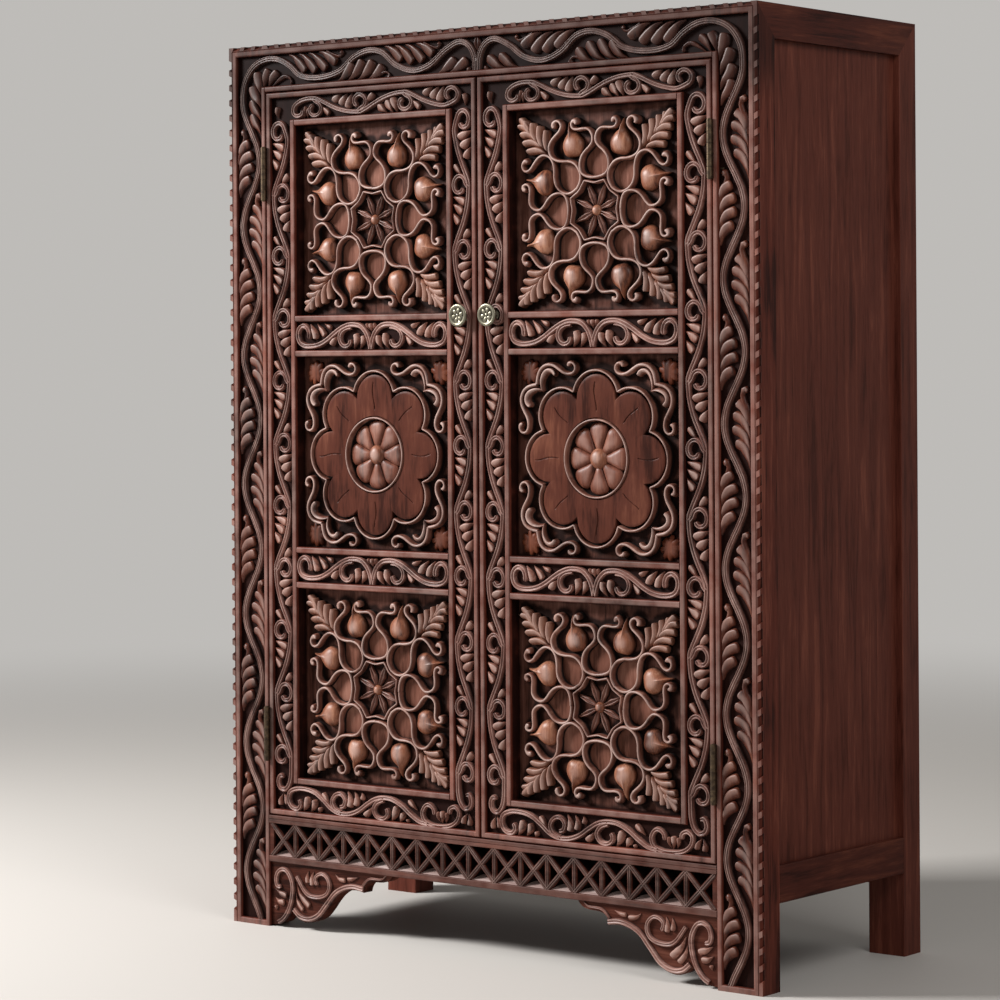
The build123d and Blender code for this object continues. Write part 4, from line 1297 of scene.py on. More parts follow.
# %% Woods of the panels
STRAND_BROWN = ((58, 30, 22), (108, 67, 55), (150, 107, 92))
LOBE_BROWN = ((68, 38, 28), (118, 76, 60), (158, 114, 95))
BUD_BROWN = ((72, 37, 25), (132, 81, 59), (174, 123, 98))
DISC_BROWN = ((49, 24, 18), (82, 44, 34), (110, 66, 51))
PETAL_BROWN = ((60, 30, 22), (112, 65, 50), (150, 100, 81))
CELL_BROWN = ((66, 37, 28), (116, 75, 62), (150, 106, 91))
PALM_BROWN = ((48, 21, 14), (92, 47, 32), (126, 70, 48))
GROUND_BROWN = ((50, 28, 22), (92, 58, 49), (124, 86, 76))
# Strands and lobes get extra painted shade, which darkens their steep walls.
strand_wood = wood("Panel strand wood", UPRIGHT, STRAND_BROWN, shading=1.4, wear_sheen=0.8)
lobe_wood = wood("Panel lobe wood", UPRIGHT, LOBE_BROWN, shading=1.4, wear_sheen=0.4, gloss=0.2)
bud_wood = wood("Panel bud wood", UPRIGHT, BUD_BROWN, wear_sheen=0.6, blotch=0.9, gloss=0.25)
disc_wood = wood("Panel disc wood", WIDE_GRAIN, DISC_BROWN, wear_sheen=0.0, blotch=0.9, gloss=DULL)
petal_wood = wood("Panel petal wood", UPRIGHT, PETAL_BROWN, wear_sheen=0.35, gloss=0.2)
cell_wood = wood("Panel cell wood", WIDE_GRAIN, CELL_BROWN, wear_sheen=0.0, blotch=0.9, gloss=DULL)
palm_wood = wood("Panel palm wood", UPRIGHT, PALM_BROWN, wear_sheen=0.1, gloss=DULL)
ground_wood = wood("Panel ground wood", UPRIGHT, GROUND_BROWN, wear_sheen=0.0, gloss=DULL)
print(len(bpy.data.materials), "materials")

# %% [markdown]
# ## The panels' boards
# Each panel is one board, carved down to a flat ground. Its plate is a fine grid, a little uneven as a
# gouge leaves it. Every point of the grid looks for the nearest carved stroke and for the board's edge,
# because shade is painted beside the strokes, a painted shadow of the frame lies along the edges, and the
# open ground is left lighter. That share is stored as `rise`. The back of the board was only planed, so it
# gets the plain wood of the sides.

# %% A carved board
PANEL_GROUND = 22.0
PANEL_BACK = 29.0
PANEL_STEP = 3.0
DENT = 0.45
EVEN_EDGE = 12
# Widths in mm: painted shade beside a stroke, and a painted shadow of the frame along the board's edge,
# each full and then fading.
STROKE_SHADE = (6.0, 9.0)
EDGE_SHADOW = (3.0, 10.0)
OPEN_RISE = 0.55
FLAT_ENOUGH = 0.7


def to_mesh(work, name, *materials):
    """Turn a bmesh into a mesh with its materials."""
    mesh = bpy.data.meshes.new(name)
    work.to_mesh(mesh)
    work.free()
    for material in materials:
        mesh.materials.append(material)
    return mesh


def skin(work, first, second):
    """The faces between two closed rings of points."""
    for a, b, c, d in zip(first, first[1:] + first[:1], second[1:] + second[:1], second):
        work.faces.new((a, b, c, d))


def openness(distance, edge):
    """0 close to a stroke or to the board's edge, 1 in the open. Each pair is the width of full painted
    shade and of its fade.
    """
    share = min((distance - STROKE_SHADE[0]) / STROKE_SHADE[1], (edge - EDGE_SHADOW[0]) / EDGE_SHADOW[1])
    return min(1.0, max(0.0, share))


def board(name, node, strokes, material):
    """The plate of one panel with an uneven ground, painted shade beside the strokes and a painted shadow
    along the edges, and a plain back.
    """
    left, right, bottom, top = span(node)
    near = np.concatenate([stroke[0] for stroke in strokes])
    xs = np.linspace(left, right, round((right - left) / PANEL_STEP))
    zs = np.linspace(bottom, top, round((top - bottom) / PANEL_STEP))
    chance = np.random.default_rng(7)
    work = bmesh.new()
    rise = work.verts.layers.float.new("rise")
    rows = []
    for z in zs:
        row = []
        for x in xs:
            distance = math.sqrt(np.min(np.sum((near - (x, z)) ** 2, axis=1)))
            edge = min(x - left, right - x, z - bottom, top - z)
            dent = chance.uniform(0, DENT) if edge > EVEN_EDGE else 0.0
            vert = work.verts.new((x * MM, front_y + (PANEL_GROUND + dent) * MM, z * MM))
            vert[rise] = openness(distance, edge) * OPEN_RISE
            row.append(vert)
        rows.append(row)
    for low, high in zip(rows, rows[1:]):
        for a, b, c, d in zip(low, low[1:], high[1:], high):
            work.faces.new((a, b, c, d))
    shell = bmesh.ops.extrude_face_region(work, geom=work.faces[:])
    back = [item for item in shell["geom"] if isinstance(item, bmesh.types.BMVert)]
    for vert in back:
        vert.co.y = front_y + PANEL_BACK * MM
    bmesh.ops.recalc_face_normals(work, faces=work.faces)
    for face in work.faces:
        face.smooth = abs(face.normal.y) > FLAT_ENOUGH
        face.material_index = 1 if face.normal.y > FLAT_ENOUGH else 0
    return to_mesh(work, name, material, side_wood)


print("a board's grid has a point every", PANEL_STEP, "mm")

# %% Places on a panel
HAND_SHIFT = 0.5
PANEL_DROP = 3.0


def hand(number):
    """A small shift that differs from copy to copy, as handwork does, but not from run to run."""
    return np.random.default_rng(number).uniform(-HAND_SHIFT, HAND_SHIFT, 2)


def corner_places(middle, seed):
    """The eight places of a drawing that repeats about a panel's middle, turned and mirrored."""
    places = []
    for number in range(8):
        sign_a, sign_b = (1, -1)[number % 2], (1, -1)[number // 2 % 2]
        shift = hand(seed * 8 + number)

        def put(a, b, swap=number >= 4, sign_a=sign_a, sign_b=sign_b, shift=shift):
            if swap:
                a, b = b, a
            return middle[0] + sign_a * a + shift[0], middle[1] + sign_b * b + shift[1]
        places.append(put)
    return places


def panel_middle(node):
    """The middle of the carving, a little below the middle of the board."""
    left, right, bottom, top = span(node)
    return (left + right) / 2, (bottom + top) / 2 - PANEL_DROP


print("the top left panel's carving is laid out about", panel_middle("left_door_top_panel"))

# %% [markdown]
# ## The panel of buds
# A strand starts in a ball at the edge, passes its mirror twin, goes round a cell and meets the next
# strand, so eight strands of each kind lock into a ring of cells about a star. In the gaps sit eight
# swelling buds, and a leaf fills each corner. One strand of each kind is drawn, and copied round.

# %% Drawings for the panel of buds
OUTER_STRAND = (
    (33.5, 127), (35, 132), (39.5, 132.5), (42, 127), (39, 121.5), (32, 119.8), (22, 120.5), (12.5, 120),
    (6.5, 115.5), (3.2, 108), (3.5, 100.5), (9, 93.5), (16.5, 87.5), (23, 80), (26.3, 70.5), (26, 61),
    (22.5, 54.5), (15, 50.5), (7, 48.8), (0, 48.3))
CORNER_STRAND = (
    (74, 123), (76.5, 128.5), (71, 134), (64, 132), (61, 126), (64, 119), (71.5, 112.5), (79, 105.5),
    (83.5, 97), (83, 88), (79, 81), (71, 76), (59.5, 73.8), (48, 73.5), (38, 70.5), (31.2, 64.5),
    (26.8, 57), (25.3, 49), (27, 41), (32.3, 32.3))
CORNER_LOBES = (
    (((84, 86), (89.5, 95), (92, 106), (90, 122)), 13),
    (((94, 94), (101, 104), (104, 114), (102.5, 129)), 14),
    (((105, 104), (112, 112), (116, 121), (115.5, 134)), 14),
    (((115, 114), (122, 121), (127, 128), (128, 138)), 13.5),
)
CORNER_END = (((120, 120), (130, 130), (141, 140)), 16)
STRAND_WIDTH = 6.6
STRAND_BALLS = (6.2, 0)
SIDE_STRETCH = 1.04
STAR_LINE = ((22.5, 47.3), (13, 43.2), (0, 40.4), (-13, 43.2), (-22.5, 47.3))
STAR_PETAL = ((22.5, 7), (22.5, 20), (22.5, 32), (22.5, 46))
SPINDLE = ((0, 0.35), (0.4, 1), (1, 0.1))
BUD_SPOT = (44.0, 97.5)
BUD_LEAN = 9.0
BUD_SIZE = 1.07
BUD = ((-17.5, 0), (-17.3, 7), (-15, 13), (-9.5, 17), (-2, 18.6), (5, 17.4), (11, 13.6), (16, 9), (20, 5),
       (25, 2.4), (34, 0.8), (35, 0))
CELL = ((-22, 0), (-20.5, 9), (-14, 17.5), (-4, 22), (6, 22), (15, 17), (22, 9), (27, 3), (30, 0))
CELL_RADIUS = 70.8
BOSS_RADIUS = 9.0
EIGHTHS = range(0, 360, 45)


def bud_panel_strokes(node, seed):
    """The strands, the leaf lobes and the petals of one panel of buds, as three drawings."""
    strands, lobes, petals = Drawing(), Drawing(), Drawing()
    middle = panel_middle(node)
    for number, put in enumerate(corner_places(middle, seed)):
        for line in (OUTER_STRAND, CORNER_STRAND):
            strands.add(line, STRAND_WIDTH, balls=STRAND_BALLS, place=put, ground=PANEL_GROUND)
        stretch = SIDE_STRETCH if number >= 4 else 1.0
        for points, width in CORNER_LOBES:
            lobes.comma([(a, b * stretch) for a, b in points], width, put, PANEL_GROUND, FEATHER)
    for put in corner_places(middle, seed)[:4]:
        lobes.comma(*CORNER_END, put, PANEL_GROUND, FEATHER)
    for turn in EIGHTHS:
        around = round_place(middle, turn)
        strands.add(STAR_LINE, 4.6, place=around, ground=PANEL_GROUND)
        petals.add(STAR_PETAL, 12.5, SPINDLE, place=around, ground=PANEL_GROUND)
    return strands, lobes, petals


def bud_spots(middle):
    """Where the eight buds sit, and how each is turned."""
    spots = []
    for sign_a in (1, -1):
        for sign_b in (1, -1):
            lean = BUD_LEAN * sign_a * sign_b
            upright = 0 if sign_b > 0 else 180
            for (a, b), turn in ((BUD_SPOT, upright - lean), (BUD_SPOT[::-1], lean - 90 * sign_a)):
                spots.append((middle[0] + sign_a * a, middle[1] + sign_b * b, turn))
    return spots


print("a panel of buds is drawn from", len(OUTER_STRAND) + len(CORNER_STRAND), "strand points")

# %% Carve the panels of buds
STRAND = {"Height": 14.4 * MM, "Full Half Width": 2.4 * MM, "Grooves": 0.0, "Groove Depth": 0.0,
          "Flatness": 3.0, "Points": 8}
LOBE = {**BLADE, "Height": 12.4 * MM, "Full Half Width": 4.0 * MM, "Flatness": 3.4, "Lean": 0.24}
PETAL = {"Height": 9.0 * MM, "Full Half Width": 3.0 * MM, "Grooves": 1.0, "Groove Depth": 0.5,
         "Flatness": 3.0, "Points": 9}
bud_outline = mirrored_outline([(along * BUD_SIZE, half * BUD_SIZE) for along, half in BUD])
bud_shape = dome("bud", bud_outline, 14.6, crown=2.3)
cell_shape = dome("cell", mirrored_outline(CELL), 1.6, crown=4.0, foot=0.2)
boss_shape = dome("boss", circle(BOSS_RADIUS), 12.6, crown=2.2)


def make_bud_panel(node, body, seed):
    """One whole panel of buds: the board and everything carved on it."""
    strands, lobes, petals = bud_panel_strokes(node, seed)
    middle = panel_middle(node)
    cells = ring_spots(middle, CELL_RADIUS, EIGHTHS)
    meshes = [board("board", node, strands.strokes + lobes.strokes, ground_wood),
              *carve(strands, STRAND, strand_wood),
              *carve(lobes, LOBE, lobe_wood),
              *carve(petals, PETAL, strand_wood),
              place_motifs(bud_shape, bud_spots(middle), PANEL_GROUND, bud_wood),
              place_motifs(cell_shape, cells, PANEL_GROUND, cell_wood),
              place_motifs(boss_shape, [(*middle, 0)], PANEL_GROUND, bud_wood)]
    keep(f"carved_{node}", meshes, body, replaced=[node])


for first_seed, side in ((0, "left"), (2, "right")):
    make_bud_panel(f"{side}_door_top_panel", f"{side}_door", first_seed)
    make_bud_panel(f"{side}_door_bottom_panel", f"{side}_door", first_seed + 1)

# %% [markdown]
# ## The panel of the round flower
# A disc with eight lobes has a raised rim that follows the lobes at an even distance, so rim and
# disc edge are arcs about the same eight centres. The disc is a grid of rays and rings. A thin
# wavering cut runs out along each lobe: the rays stand closer there, so that the cut stays sharp.

# %% Drawings for the panel of the round flower
HALF_LOBE = 22.5
LOBE_CENTRE = 88.0
RIM_RADIUS = 42.0
DISC_RADIUS = 36.0
RING_LINE = 57.3
DISC_INNER = 60.5
DISC_HEIGHT = 11.6
CUT_RAYS = tuple(n * 0.45 for n in range(-8, 9))
CUT_HALF = 1.1
CUT_DEPTH = 1.6
CUT_START = 70
CUT_END = 112
EDGE_DROP = 0.9
DEGREES_IN_RADIAN = 57.3
SCROLL_LINE = (
    (50, 135), (49, 139.5), (43, 141), (38, 137.5), (37, 131), (41.5, 126), (49.5, 124.3), (59, 126.5),
    (68.5, 132), (78, 137), (88.5, 138), (98.5, 134), (104.5, 127), (107.5, 118), (109, 109))
SCROLL_SWELL = ((0, 0.75), (0.5, 1), (1, 1))
CRESCENT = ((99.5, 99), (101, 108), (99.5, 117.5), (95, 125.5), (88.5, 129), (81.5, 127.5), (76, 121))
CRESCENT_SWELL = ((0, 0.5), (0.5, 0.95), (1, 1))
PETAL_RADIUS = 33.0
PALM_RADIUS = 125.5 * math.sqrt(2)
PALM_HALF = ((-14, 0), (-15, 5), (-9, 8.5), (-11, 14), (-6, 17.5), (-1, 14), (1, 19), (7, 20), (9.5, 14.5),
             (14, 15.5), (18, 11), (16.5, 6.5), (20.5, 4), (22, 0))


def lobed_radius(angle, radius):
    """How far the edge of eight arcs is from the middle, at an angle from a lobe's axis in degrees."""
    angle = math.radians((angle + HALF_LOBE) % 45 - HALF_LOBE)
    return LOBE_CENTRE * math.cos(angle) + math.sqrt(radius ** 2 - (LOBE_CENTRE * math.sin(angle)) ** 2)


def cut_waver(radius, lobe):
    """Which way a cut strays from its lobe's axis, in degrees."""
    return 1.3 * math.sin(radius / 9 + lobe * 1.9) - 0.6


def cut_share(radius, offset, lobe):
    """1 in the middle of a lobe's cut and 0 beside it; the cuts start and end a little differently."""
    if not CUT_START + 3 * (lobe % 3) < radius < CUT_END - 4 * (lobe % 2):
        return 0.0
    aside = abs(offset - cut_waver(radius, lobe)) * radius / DEGREES_IN_RADIAN
    return max(0.0, 1 - aside / CUT_HALF)


print("a cut has", len(CUT_RAYS), "rays across it")


# %% The disc
def make_disc(middle, material):
    """The lobed disc between the ring and the rim, with its thin cuts."""
    rays = []
    for lobe in range(8):
        offsets = sorted(set(CUT_RAYS) | set(np.linspace(-HALF_LOBE, 19.5, 15)))
        rays += [(lobe * 45 + offset, offset, lobe) for offset in offsets]
    work = bmesh.new()
    rise = work.verts.layers.float.new("rise")
    steps = list(np.linspace(0, 0.93, 22)) + [0.965, 0.99, 1.0]
    columns = []
    for angle, offset, lobe in rays:
        edge = lobed_radius(offset, DISC_RADIUS)
        column = []
        for share in [0.0] + steps + [1.0]:
            radius = DISC_INNER + (edge - DISC_INNER) * share
            swell = 0.5 * math.sin(math.pi * share)
            lift = DISC_HEIGHT + swell - EDGE_DROP * max(0, share - 0.95) / 0.05
            cut = cut_share(radius, offset, lobe)
            a, b = turned_point(angle, radius)
            depth = PANEL_GROUND - lift + CUT_DEPTH * cut
            vert = work.verts.new(((middle[0] + a) * MM, front_y + depth * MM, (middle[1] + b) * MM))
            # Rise falls to 0 in the thin cuts and at the disc's foot, so painted shade fills them.
            vert[rise] = (0.75 + 0.25 * math.sin(math.pi * min(share * 1.3, 1))) * (1 - cut)
            column.append(vert)
        for end in (0, -1):
            column[end].co.y = front_y + (PANEL_GROUND + BACK_INTO_GROUND) * MM
            column[end][rise] = 0.0
        columns.append(column)
    for first, second in zip(columns, columns[1:] + columns[:1]):
        skin(work, first, second)
    bmesh.ops.recalc_face_normals(work, faces=work.faces)
    return to_mesh(work, "disc", material)


print("the disc stands", DISC_HEIGHT, "mm above its ground")

# %% Carve the panels of the round flower
RIM_ANGLES = np.linspace(-22.49, 22.49, 11)
PETAL_OUTLINE = mirrored_outline((
    (-23, 0), (-22, 3.6), (-12, 8.5), (-2, 12.9), (4, 15.4), (9, 16.8), (14, 15.8), (18, 11.8), (20.3, 6),
    (20.8, 0)))
flower_petal = dome("petal", PETAL_OUTLINE, 8.6, crown=2.6, foot=0.25)
flower_boss = dome("flower_boss", circle(16.5, 36), 14.0, crown=2.2)
palm = dome("palm", mirrored_outline(PALM_HALF), 6.0, crown=3.2, foot=0.3)


def flower_panel_strokes(node, seed):
    """Rim, ring, scrolls and crescents of one panel, as two drawings."""
    ridges, leaves = Drawing(), Drawing()
    middle = panel_middle(node)
    rim = [(angle, lobed_radius(angle, RIM_RADIUS)) for angle in RIM_ANGLES]
    for turn in EIGHTHS:
        ridges.add(rim, 5.4, place=round_place(middle, turn), ground=PANEL_GROUND)
    ring = [round_place(middle, 0)(angle, RING_LINE) for angle in range(0, 360, 15)]
    ridges.add(ring, 5.0, ground=PANEL_GROUND, closed=True)
    for put in corner_places(middle, seed + 20):
        ridges.add(SCROLL_LINE, 7.8, SCROLL_SWELL, (5.2, 0), put, PANEL_GROUND)
        leaves.add(CRESCENT, 10.5, CRESCENT_SWELL, (0, 4.8), put, PANEL_GROUND)
    return ridges, leaves


def make_flower_panel(node, body, seed):
    """One whole panel of the round flower."""
    ridges, leaves = flower_panel_strokes(node, seed)
    middle = panel_middle(node)
    petals = ring_spots(middle, PETAL_RADIUS, EIGHTHS)
    corners = ring_spots(middle, PALM_RADIUS, range(45, 360, 90))
    meshes = [board("board", node, ridges.strokes + leaves.strokes, ground_wood),
              make_disc(middle, disc_wood),
              *carve(ridges, STRAND, strand_wood),
              *carve(leaves, LOBE, strand_wood),
              place_motifs(palm, corners, PANEL_GROUND, palm_wood),
              place_motifs(flower_petal, petals, PANEL_GROUND, petal_wood),
              place_motifs(flower_boss, [(*middle, 0)], PANEL_GROUND, bud_wood)]
    keep(f"carved_{node}", meshes, body, replaced=[node])


for seed, side in enumerate(("left", "right")):
    make_flower_panel(f"{side}_door_middle_panel", f"{side}_door", seed)

# %% [markdown]
# ## The brackets
# A double ridge follows the lower edge of each bracket, and over it a spiral, an arch and a few
# leaves fill the board. The edge is the curve that the board was sawn to, given here as shares of
# the bracket's length and height, so the ridge can run at an even distance inside it.

# %% Brackets
BRACKET_LENGTH = 252.0
BRACKET_HEIGHT = 100.0
BRACKET_TOP = 103.0
BRACKET_GROUND = 6.0
BRACKET_RELIEF = 5.6
BRACKET_EDGE = ((0.77, 0.32), (0.68, 0.30), (0.57, 0.395), (0.49, 0.60), (0.41, 0.81), (0.32, 0.9),
                (0.24, 0.875), (0.175, 0.75))
BRACKET_TIP = ((0.97, 0.02), (0.93, 0.10), (0.82, 0.13), (0.77, 0.25))
TIP_SWELL = ((0, 0.4), (0.5, 1), (1, 1))
BRACKET_ARCH = ((94, 1392), (103, 1387), (113, 1376), (120, 1362), (124, 1347), (125, 1333), (121, 1320),
                (113, 1310), (103, 1308), (94, 1313), (90, 1324), (93, 1335), (101, 1336))
BRACKET_SPIRAL = ((177, 1327), (173, 1316), (180, 1309), (191, 1308), (200, 1315), (203, 1326), (198, 1337),
                  (188, 1343), (174, 1345.5), (160, 1344), (150, 1337), (142, 1327), (134, 1316))
SPIRAL_SWELL = ((0, 0.8), (0.75, 1), (1, 0.8))
BRACKET_LEAVES = (
    (((134, 1331), (140, 1344), (150, 1354), (160, 1362)), 10),
    (((131, 1342), (134, 1354), (141, 1364), (147, 1369)), 7.5),
    (((169, 1306), (166, 1316), (167, 1328)), 7.5),
    (((158, 1306), (156, 1315), (157, 1325)), 6.5),
    (((87, 1340), (97, 1346), (112, 1350)), 9),
    (((87, 1354), (96, 1360), (107, 1361)), 9),
    (((89, 1374), (90, 1366)), 6),
    (((214, 1306), (222, 1312), (236, 1314)), 7),
    (((262, 1306), (250, 1310), (240, 1311)), 6),
)
BRACKET_LEAF_GROWTH = 1.3


def inset(points, distance):
    """The smooth line through points, moved sideways by a distance."""
    line = smooth_line(points)[::3]
    run = np.gradient(line, axis=0)
    side = np.stack((-run[:, 1], run[:, 0]), axis=1)
    return line + side / np.linalg.norm(side, axis=1)[:, None] * distance


def sawn(shares, distance):
    """A line at a distance inside part of the sawn edge, given in shares of length and height."""
    edge = [(post_inner - inward * BRACKET_LENGTH, BRACKET_TOP - down * BRACKET_HEIGHT)
            for inward, down in shares]
    return inset(edge, distance)


def draw_bracket(ridges, leaves, sign):
    """One bracket; sign is 1 for the right one."""
    def from_corner(across, down):
        return sign * (half_width - across), height - down

    def on_board(x, z):
        return sign * x, z

    ridges.add(sawn(BRACKET_EDGE, 5.6), 9.6, place=on_board, ground=BRACKET_GROUND)
    ridges.add(sawn(BRACKET_TIP, 3.4), 4.4, TIP_SWELL, place=on_board, ground=BRACKET_GROUND)
    ridges.add(BRACKET_ARCH, 9.0, balls=(0, 4.6), place=from_corner, ground=BRACKET_GROUND)
    ridges.add(BRACKET_SPIRAL, 8.4, SPIRAL_SWELL, (4.0, 0), from_corner, BRACKET_GROUND)
    for points, width in BRACKET_LEAVES:
        leaves.comma(points, width * BRACKET_LEAF_GROWTH, from_corner, BRACKET_GROUND)


BRACKET_RIDGE = {**SCROLL, "Height": BRACKET_RELIEF * MM}
BRACKET_BLADE = {**SMALL_BLADE, "Height": 0.85 * BRACKET_RELIEF * MM}
for side, sign in (("left", -1), ("right", 1)):
    ridges, leaves = Drawing(), Drawing()
    draw_bracket(ridges, leaves, sign)
    keep(f"{side}_bracket_carving", [*carve(ridges, BRACKET_RIDGE, level_stem_wood),
                                     *carve(leaves, BRACKET_BLADE, level_leaf_wood)], "carcass")

# %% [markdown]
# ## The lattice band
# The crossing bars of the lattice rail each carry a double line, and in the lowest pocket of every bay the
# carver left a small slope, coloured pale as a painted highlight. Both repeat by bay, so one bay is a
# function and a loop draws all seventeen.

# %% The slopes
LATTICE_BAYS = 17
LATTICE_BORDER = 4.0
LATTICE_LOW = 113.0
LATTICE_HIGH = 164.0
LATTICE_GROUND = 2.0
LATTICE_BAY = (2 * post_inner - 2 * LATTICE_BORDER) / LATTICE_BAYS
SLOPE_HALF = 20.0
SLOPE_RISE = 8.5
SLOPE_REACH = 13.0
SLOPE_STEPS = 8
# The slope's pale colour is a painted highlight, standing in for light reflected from above.
SLOPE_HIGHLIGHT = ((104, 80, 74), (150, 126, 120), (190, 170, 165))
slope_highlight_wood = wood("Slope wood with painted highlight", LEVEL, SLOPE_HIGHLIGHT, shading=0.8, wear_sheen=0.2)


def lattice_slope(work, rise, middle):
    """A little slope that rises backwards from the lower edge of one bay."""
    rows = []
    low = LATTICE_LOW - 0.3
    for step in range(SLOPE_STEPS + 1):
        share = step / SLOPE_STEPS
        bow = math.sin(math.pi * share) ** 0.7 + 0.02
        x = middle + SLOPE_HALF * (2 * share - 1)
        back = LATTICE_GROUND + SLOPE_REACH * bow
        # Rise 1 at the front edge and 0 at the back foot: wear and highlight on the edge, painted shade at
        # the foot.
        corners = ((LATTICE_GROUND + 0.2, low, 1.0), (back, low + SLOPE_RISE * bow, 0.7),
                   (back + 0.5, low, 0.0))
        row = []
        for depth, z, height_share in corners:
            vert = work.verts.new((x * MM, front_y + depth * MM, z * MM))
            vert[rise] = height_share
            row.append(vert)
        rows.append(row)
    for first, second in zip(rows, rows[1:]):
        skin(work, first, second)
    work.faces.new(rows[0])
    work.faces.new(rows[-1])


def make_slopes(material):
    """The slopes of all bays as one mesh."""
    work = bmesh.new()
    rise = work.verts.layers.float.new("rise")
    for number in range(LATTICE_BAYS):
        lattice_slope(work, rise, (number + 0.5 - LATTICE_BAYS / 2) * LATTICE_BAY)
    bmesh.ops.recalc_face_normals(work, faces=work.faces)
    return to_mesh(work, "slopes", material)


print("a bay of the lattice is", round(LATTICE_BAY, 1), "mm wide")

# %% The lattice lines
LATTICE_LINE_BROWN = ((36, 20, 16), (70, 44, 37), (100, 70, 62))
lattice_line_wood = wood("Lattice line wood", LEVEL, LATTICE_LINE_BROWN, wear_sheen=0.6)
DOUBLE_LINE = {**SCROLL, "Height": 2.1 * MM, "Groove Depth": 0.7, "Points": 10}
lattice_lines = Drawing()
for number in range(LATTICE_BAYS):
    start = (number - LATTICE_BAYS / 2) * LATTICE_BAY
    for low, high in ((LATTICE_LOW, LATTICE_HIGH), (LATTICE_HIGH, LATTICE_LOW)):
        lattice_lines.add([(start, low), (start + LATTICE_BAY, high)], 7.0, ground=LATTICE_GROUND)
    if number:
        lattice_lines.add([(start, LATTICE_LOW), (start, LATTICE_HIGH)], 6.4, ground=LATTICE_GROUND)
keep("lattice_lines", [*carve(lattice_lines, DOUBLE_LINE, lattice_line_wood),
                       make_slopes(slope_highlight_wood)], "carcass")

# %% [markdown]
# ## The knobs
# Each knob is a cast disc: a broad rolled rim round a sunk floor, with a small flower on it. The
# disc is turned, so its outline is drawn as radius and depth and spun round; the flower's petals
# and its middle are motifs on the floor. Old metal is dark in the gaps and rubbed pale on top.

# %% Knobs
KNOB_OUTLINE = (
    (0, -12.3, 0.3), (11.3, -12.3, 0.3), (11.9, -13.0, 0.6), (12.8, -13.8, 1), (14.8, -14.0, 1),
    (16.5, -13.5, 1), (17.4, -12.4, 0.9), (17.3, -11.3, 0.6), (16.2, -10.6, 0.4), (9.5, -10.0, 0.2),
    (6.6, -8.6, 0.2), (6.0, -6.0, 0.3), (6.0, 4.4, 0.3), (7.4, 5.6, 0.4), (9.0, 6.0, 0.6), (9.2, 8.4, 0.2),
    (0, 8.4, 0))
KNOB_SIDES = 48
KNOB_FLOOR = -12.2
KNOB_PETAL_RADIUS = 7.0
KNOB_PETAL_TURNS = range(15, 360, 60)
KNOB_PETAL = ((-4.2, 0), (-3.4, 1.5), (-1.2, 2.8), (1.5, 3.3), (3.2, 2.5), (4.0, 1), (4.2, 0))
knob_petal = dome("knob_petal", mirrored_outline(KNOB_PETAL), 1.5, crown=2.4, foot=0.3)
knob_middle = dome("knob_middle", circle(2.7, 16), 1.6, crown=2.0, foot=0.3)


def make_knob(centre, material):
    """The turned body of a knob; its outline gives radius, depth and rise."""
    work = bmesh.new()
    rise = work.verts.layers.float.new("rise")
    rings = []
    for radius, depth, share in KNOB_OUTLINE:
        ring = []
        for number in range(KNOB_SIDES if radius else 1):
            angle = math.tau * number / KNOB_SIDES
            x = centre[0] + radius * math.cos(angle)
            z = centre[1] + radius * math.sin(angle)
            vert = work.verts.new((x * MM, front_y + depth * MM, z * MM))
            vert[rise] = share
            ring.append(vert)
        rings.append(ring)
    for first, second in zip(rings, rings[1:]):
        for number in range(KNOB_SIDES):
            after = (number + 1) % KNOB_SIDES
            corners = [first[number % len(first)], first[after % len(first)],
                       second[after % len(second)], second[number % len(second)]]
            work.faces.new(list(dict.fromkeys(corners)))
    bmesh.ops.recalc_face_normals(work, faces=work.faces)
    for face in work.faces:
        face.smooth = True
    return to_mesh(work, "knob", material)


for side in ("left", "right"):
    node = f"{side}_door_knob"
    left, right, low, high = span(node)
    centre = ((left + right) / 2, (low + high) / 2)
    petals = ring_spots(centre, KNOB_PETAL_RADIUS, KNOB_PETAL_TURNS)
    keep(f"{side}_cast_knob", [make_knob(centre, knob_brass),
                               place_motifs(knob_petal, petals, KNOB_FLOOR, knob_brass),
                               place_motifs(knob_middle, [(*centre, 0)], KNOB_FLOOR, knob_brass)],
         f"{side}_door", [node])

# %% [markdown]
# ## Floor, light and camera
# The floor is a plain pale sheet that fades into an even backdrop. A lamp high on the left rakes
# across the front, so the carving throws shadows to the right, and a weak wide one fills in from
# the other side. The backdrop is bright where it is looked at but lights the cabinet only a little,
# because deep carving needs dark hollows. The camera stands where it sees the front and the right
# side at once. It looks level, so that the posts stay upright, and a shift moves the view down.

# %% Stage
FLOOR_SIZE = 60.0
PALE = tint(232, 229, 225)
LIT_BY_ROOM = 0.2
SEEN_BEHIND = 0.64
FADE = (1.6, 5.5)


def seen_rays(tree):
    """1 where the background is looked at, straight or in a reflection."""
    path = add_node(tree, "ShaderNodeLightPath")
    mirrored = calc(tree, "MAXIMUM", path.outputs["Is Glossy Ray"], path.outputs["Is Transmission Ray"])
    return calc(tree, "MAXIMUM", path.outputs["Is Camera Ray"], mirrored)


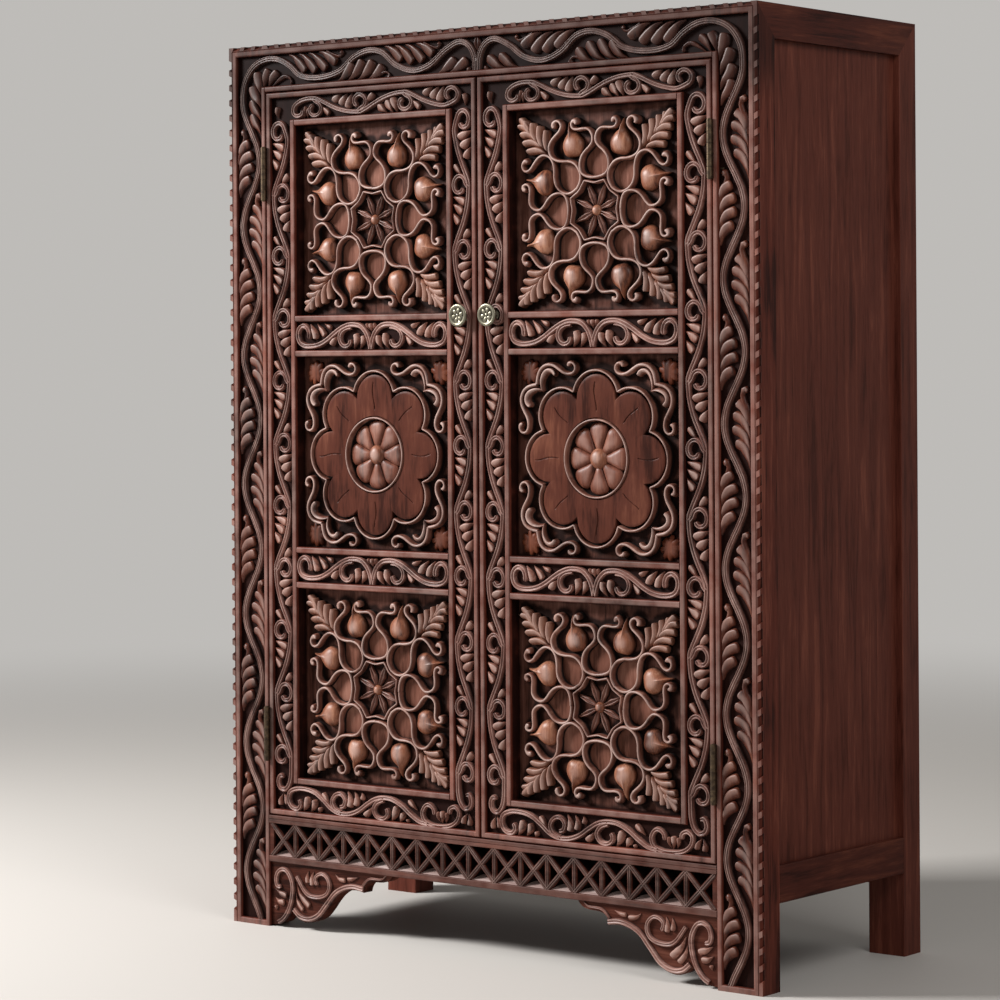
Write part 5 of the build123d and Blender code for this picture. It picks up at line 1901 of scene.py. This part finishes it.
def make_floor():
    """A pale floor that takes the shadow near the cabinet and fades into the backdrop far from it."""
    material, tree, shader = start_material("Pale floor")
    shader.inputs["Base Color"].default_value = tint(205, 200, 194)
    shader.inputs["Roughness"].default_value = 0.7
    spot = add_node(tree, "ShaderNodeTexCoord").outputs["Object"]
    distance = add_node(tree, "ShaderNodeVectorMath", operation="LENGTH")
    feed(tree, distance.inputs[0], spot)
    far = ramp(tree, distance.outputs["Value"], *FADE)
    glow = add_node(tree, "ShaderNodeEmission")
    glow.inputs["Color"].default_value = PALE
    glow.inputs["Strength"].default_value = SEEN_BEHIND
    mixed = add_node(tree, "ShaderNodeMixShader")
    feed(tree, mixed.inputs["Fac"], calc(tree, "MULTIPLY", far, seen_rays(tree)))
    feed(tree, mixed.inputs[1], shader.outputs["BSDF"])
    feed(tree, mixed.inputs[2], glow.outputs[0])
    feed(tree, tree.nodes["Material Output"].inputs["Surface"], mixed.outputs[0])
    mesh = bpy.data.meshes.new("floor")
    half = FLOOR_SIZE / 2
    corners = [(-half, -half, 0), (half, -half, 0), (half, half, 0), (-half, half, 0)]
    mesh.from_pydata(corners, [], [(0, 1, 2, 3)])
    floor = new_object("floor", mesh)
    mesh.materials.append(material)


def make_lamp(name, spot, target, size, power):
    """A soft square lamp aimed at a point."""
    lamp = bpy.data.lights.new(name, "AREA")
    lamp.size = size
    lamp.energy = power
    made = bpy.data.objects.new(name, lamp)
    made.location = spot
    made.rotation_euler = (Vector(target) - Vector(spot)).to_track_quat("-Z", "Y").to_euler()
    bpy.context.scene.collection.objects.link(made)


make_floor()
make_lamp("key_lamp", (-2.7, -2.2, 2.6), (0, 0, 0.75), size=1.0, power=256)
make_lamp("fill_lamp", (2.4, -1.2, 2.6), (0.5, 0, 0.8), size=1.4, power=32)
world = bpy.data.worlds.new("studio")
world.use_nodes = True
sky = world.node_tree
sky.nodes["Background"].inputs["Color"].default_value = PALE
feed(sky, sky.nodes["Background"].inputs["Strength"],
     calc(sky, "MULTIPLY_ADD", seen_rays(sky), SEEN_BEHIND - LIT_BY_ROOM, LIT_BY_ROOM))
bpy.context.scene.world = world
bpy.context.scene.view_settings.view_transform = "Standard"
print("lit by", len(bpy.data.lights), "lamps and a pale room")

# %% Camera
CAMERA_SPOT = Vector((3.023, front_y - 3.7159, 0.8919))
CAMERA_YAW = math.radians(-38.720)
CAMERA_ROLL = math.radians(-0.343)
FOCAL_PIXELS = 3183.4
PICTURE_PIXELS = 1000
SENSOR = 36.0
VIEW_SHIFT = -0.1365
camera_data = bpy.data.cameras.new("camera")
camera_data.sensor_width = SENSOR
camera_data.lens = FOCAL_PIXELS / PICTURE_PIXELS * SENSOR
camera_data.shift_y = VIEW_SHIFT
camera = bpy.data.objects.new("camera", camera_data)
ahead = Vector((math.sin(CAMERA_YAW), math.cos(CAMERA_YAW), 0))
side = Vector((math.cos(CAMERA_YAW), -math.sin(CAMERA_YAW), 0))
up = Vector((0, 0, 1))
right = side * math.cos(CAMERA_ROLL) + up * math.sin(CAMERA_ROLL)
over = -side * math.sin(CAMERA_ROLL) + up * math.cos(CAMERA_ROLL)
turn = Matrix((right, over, -ahead)).transposed().to_4x4()
camera.matrix_world = Matrix.Translation(CAMERA_SPOT) @ turn
bpy.context.scene.collection.objects.link(camera)
bpy.context.scene.camera = camera
print("the camera's lens is", round(camera_data.lens, 1), "mm")
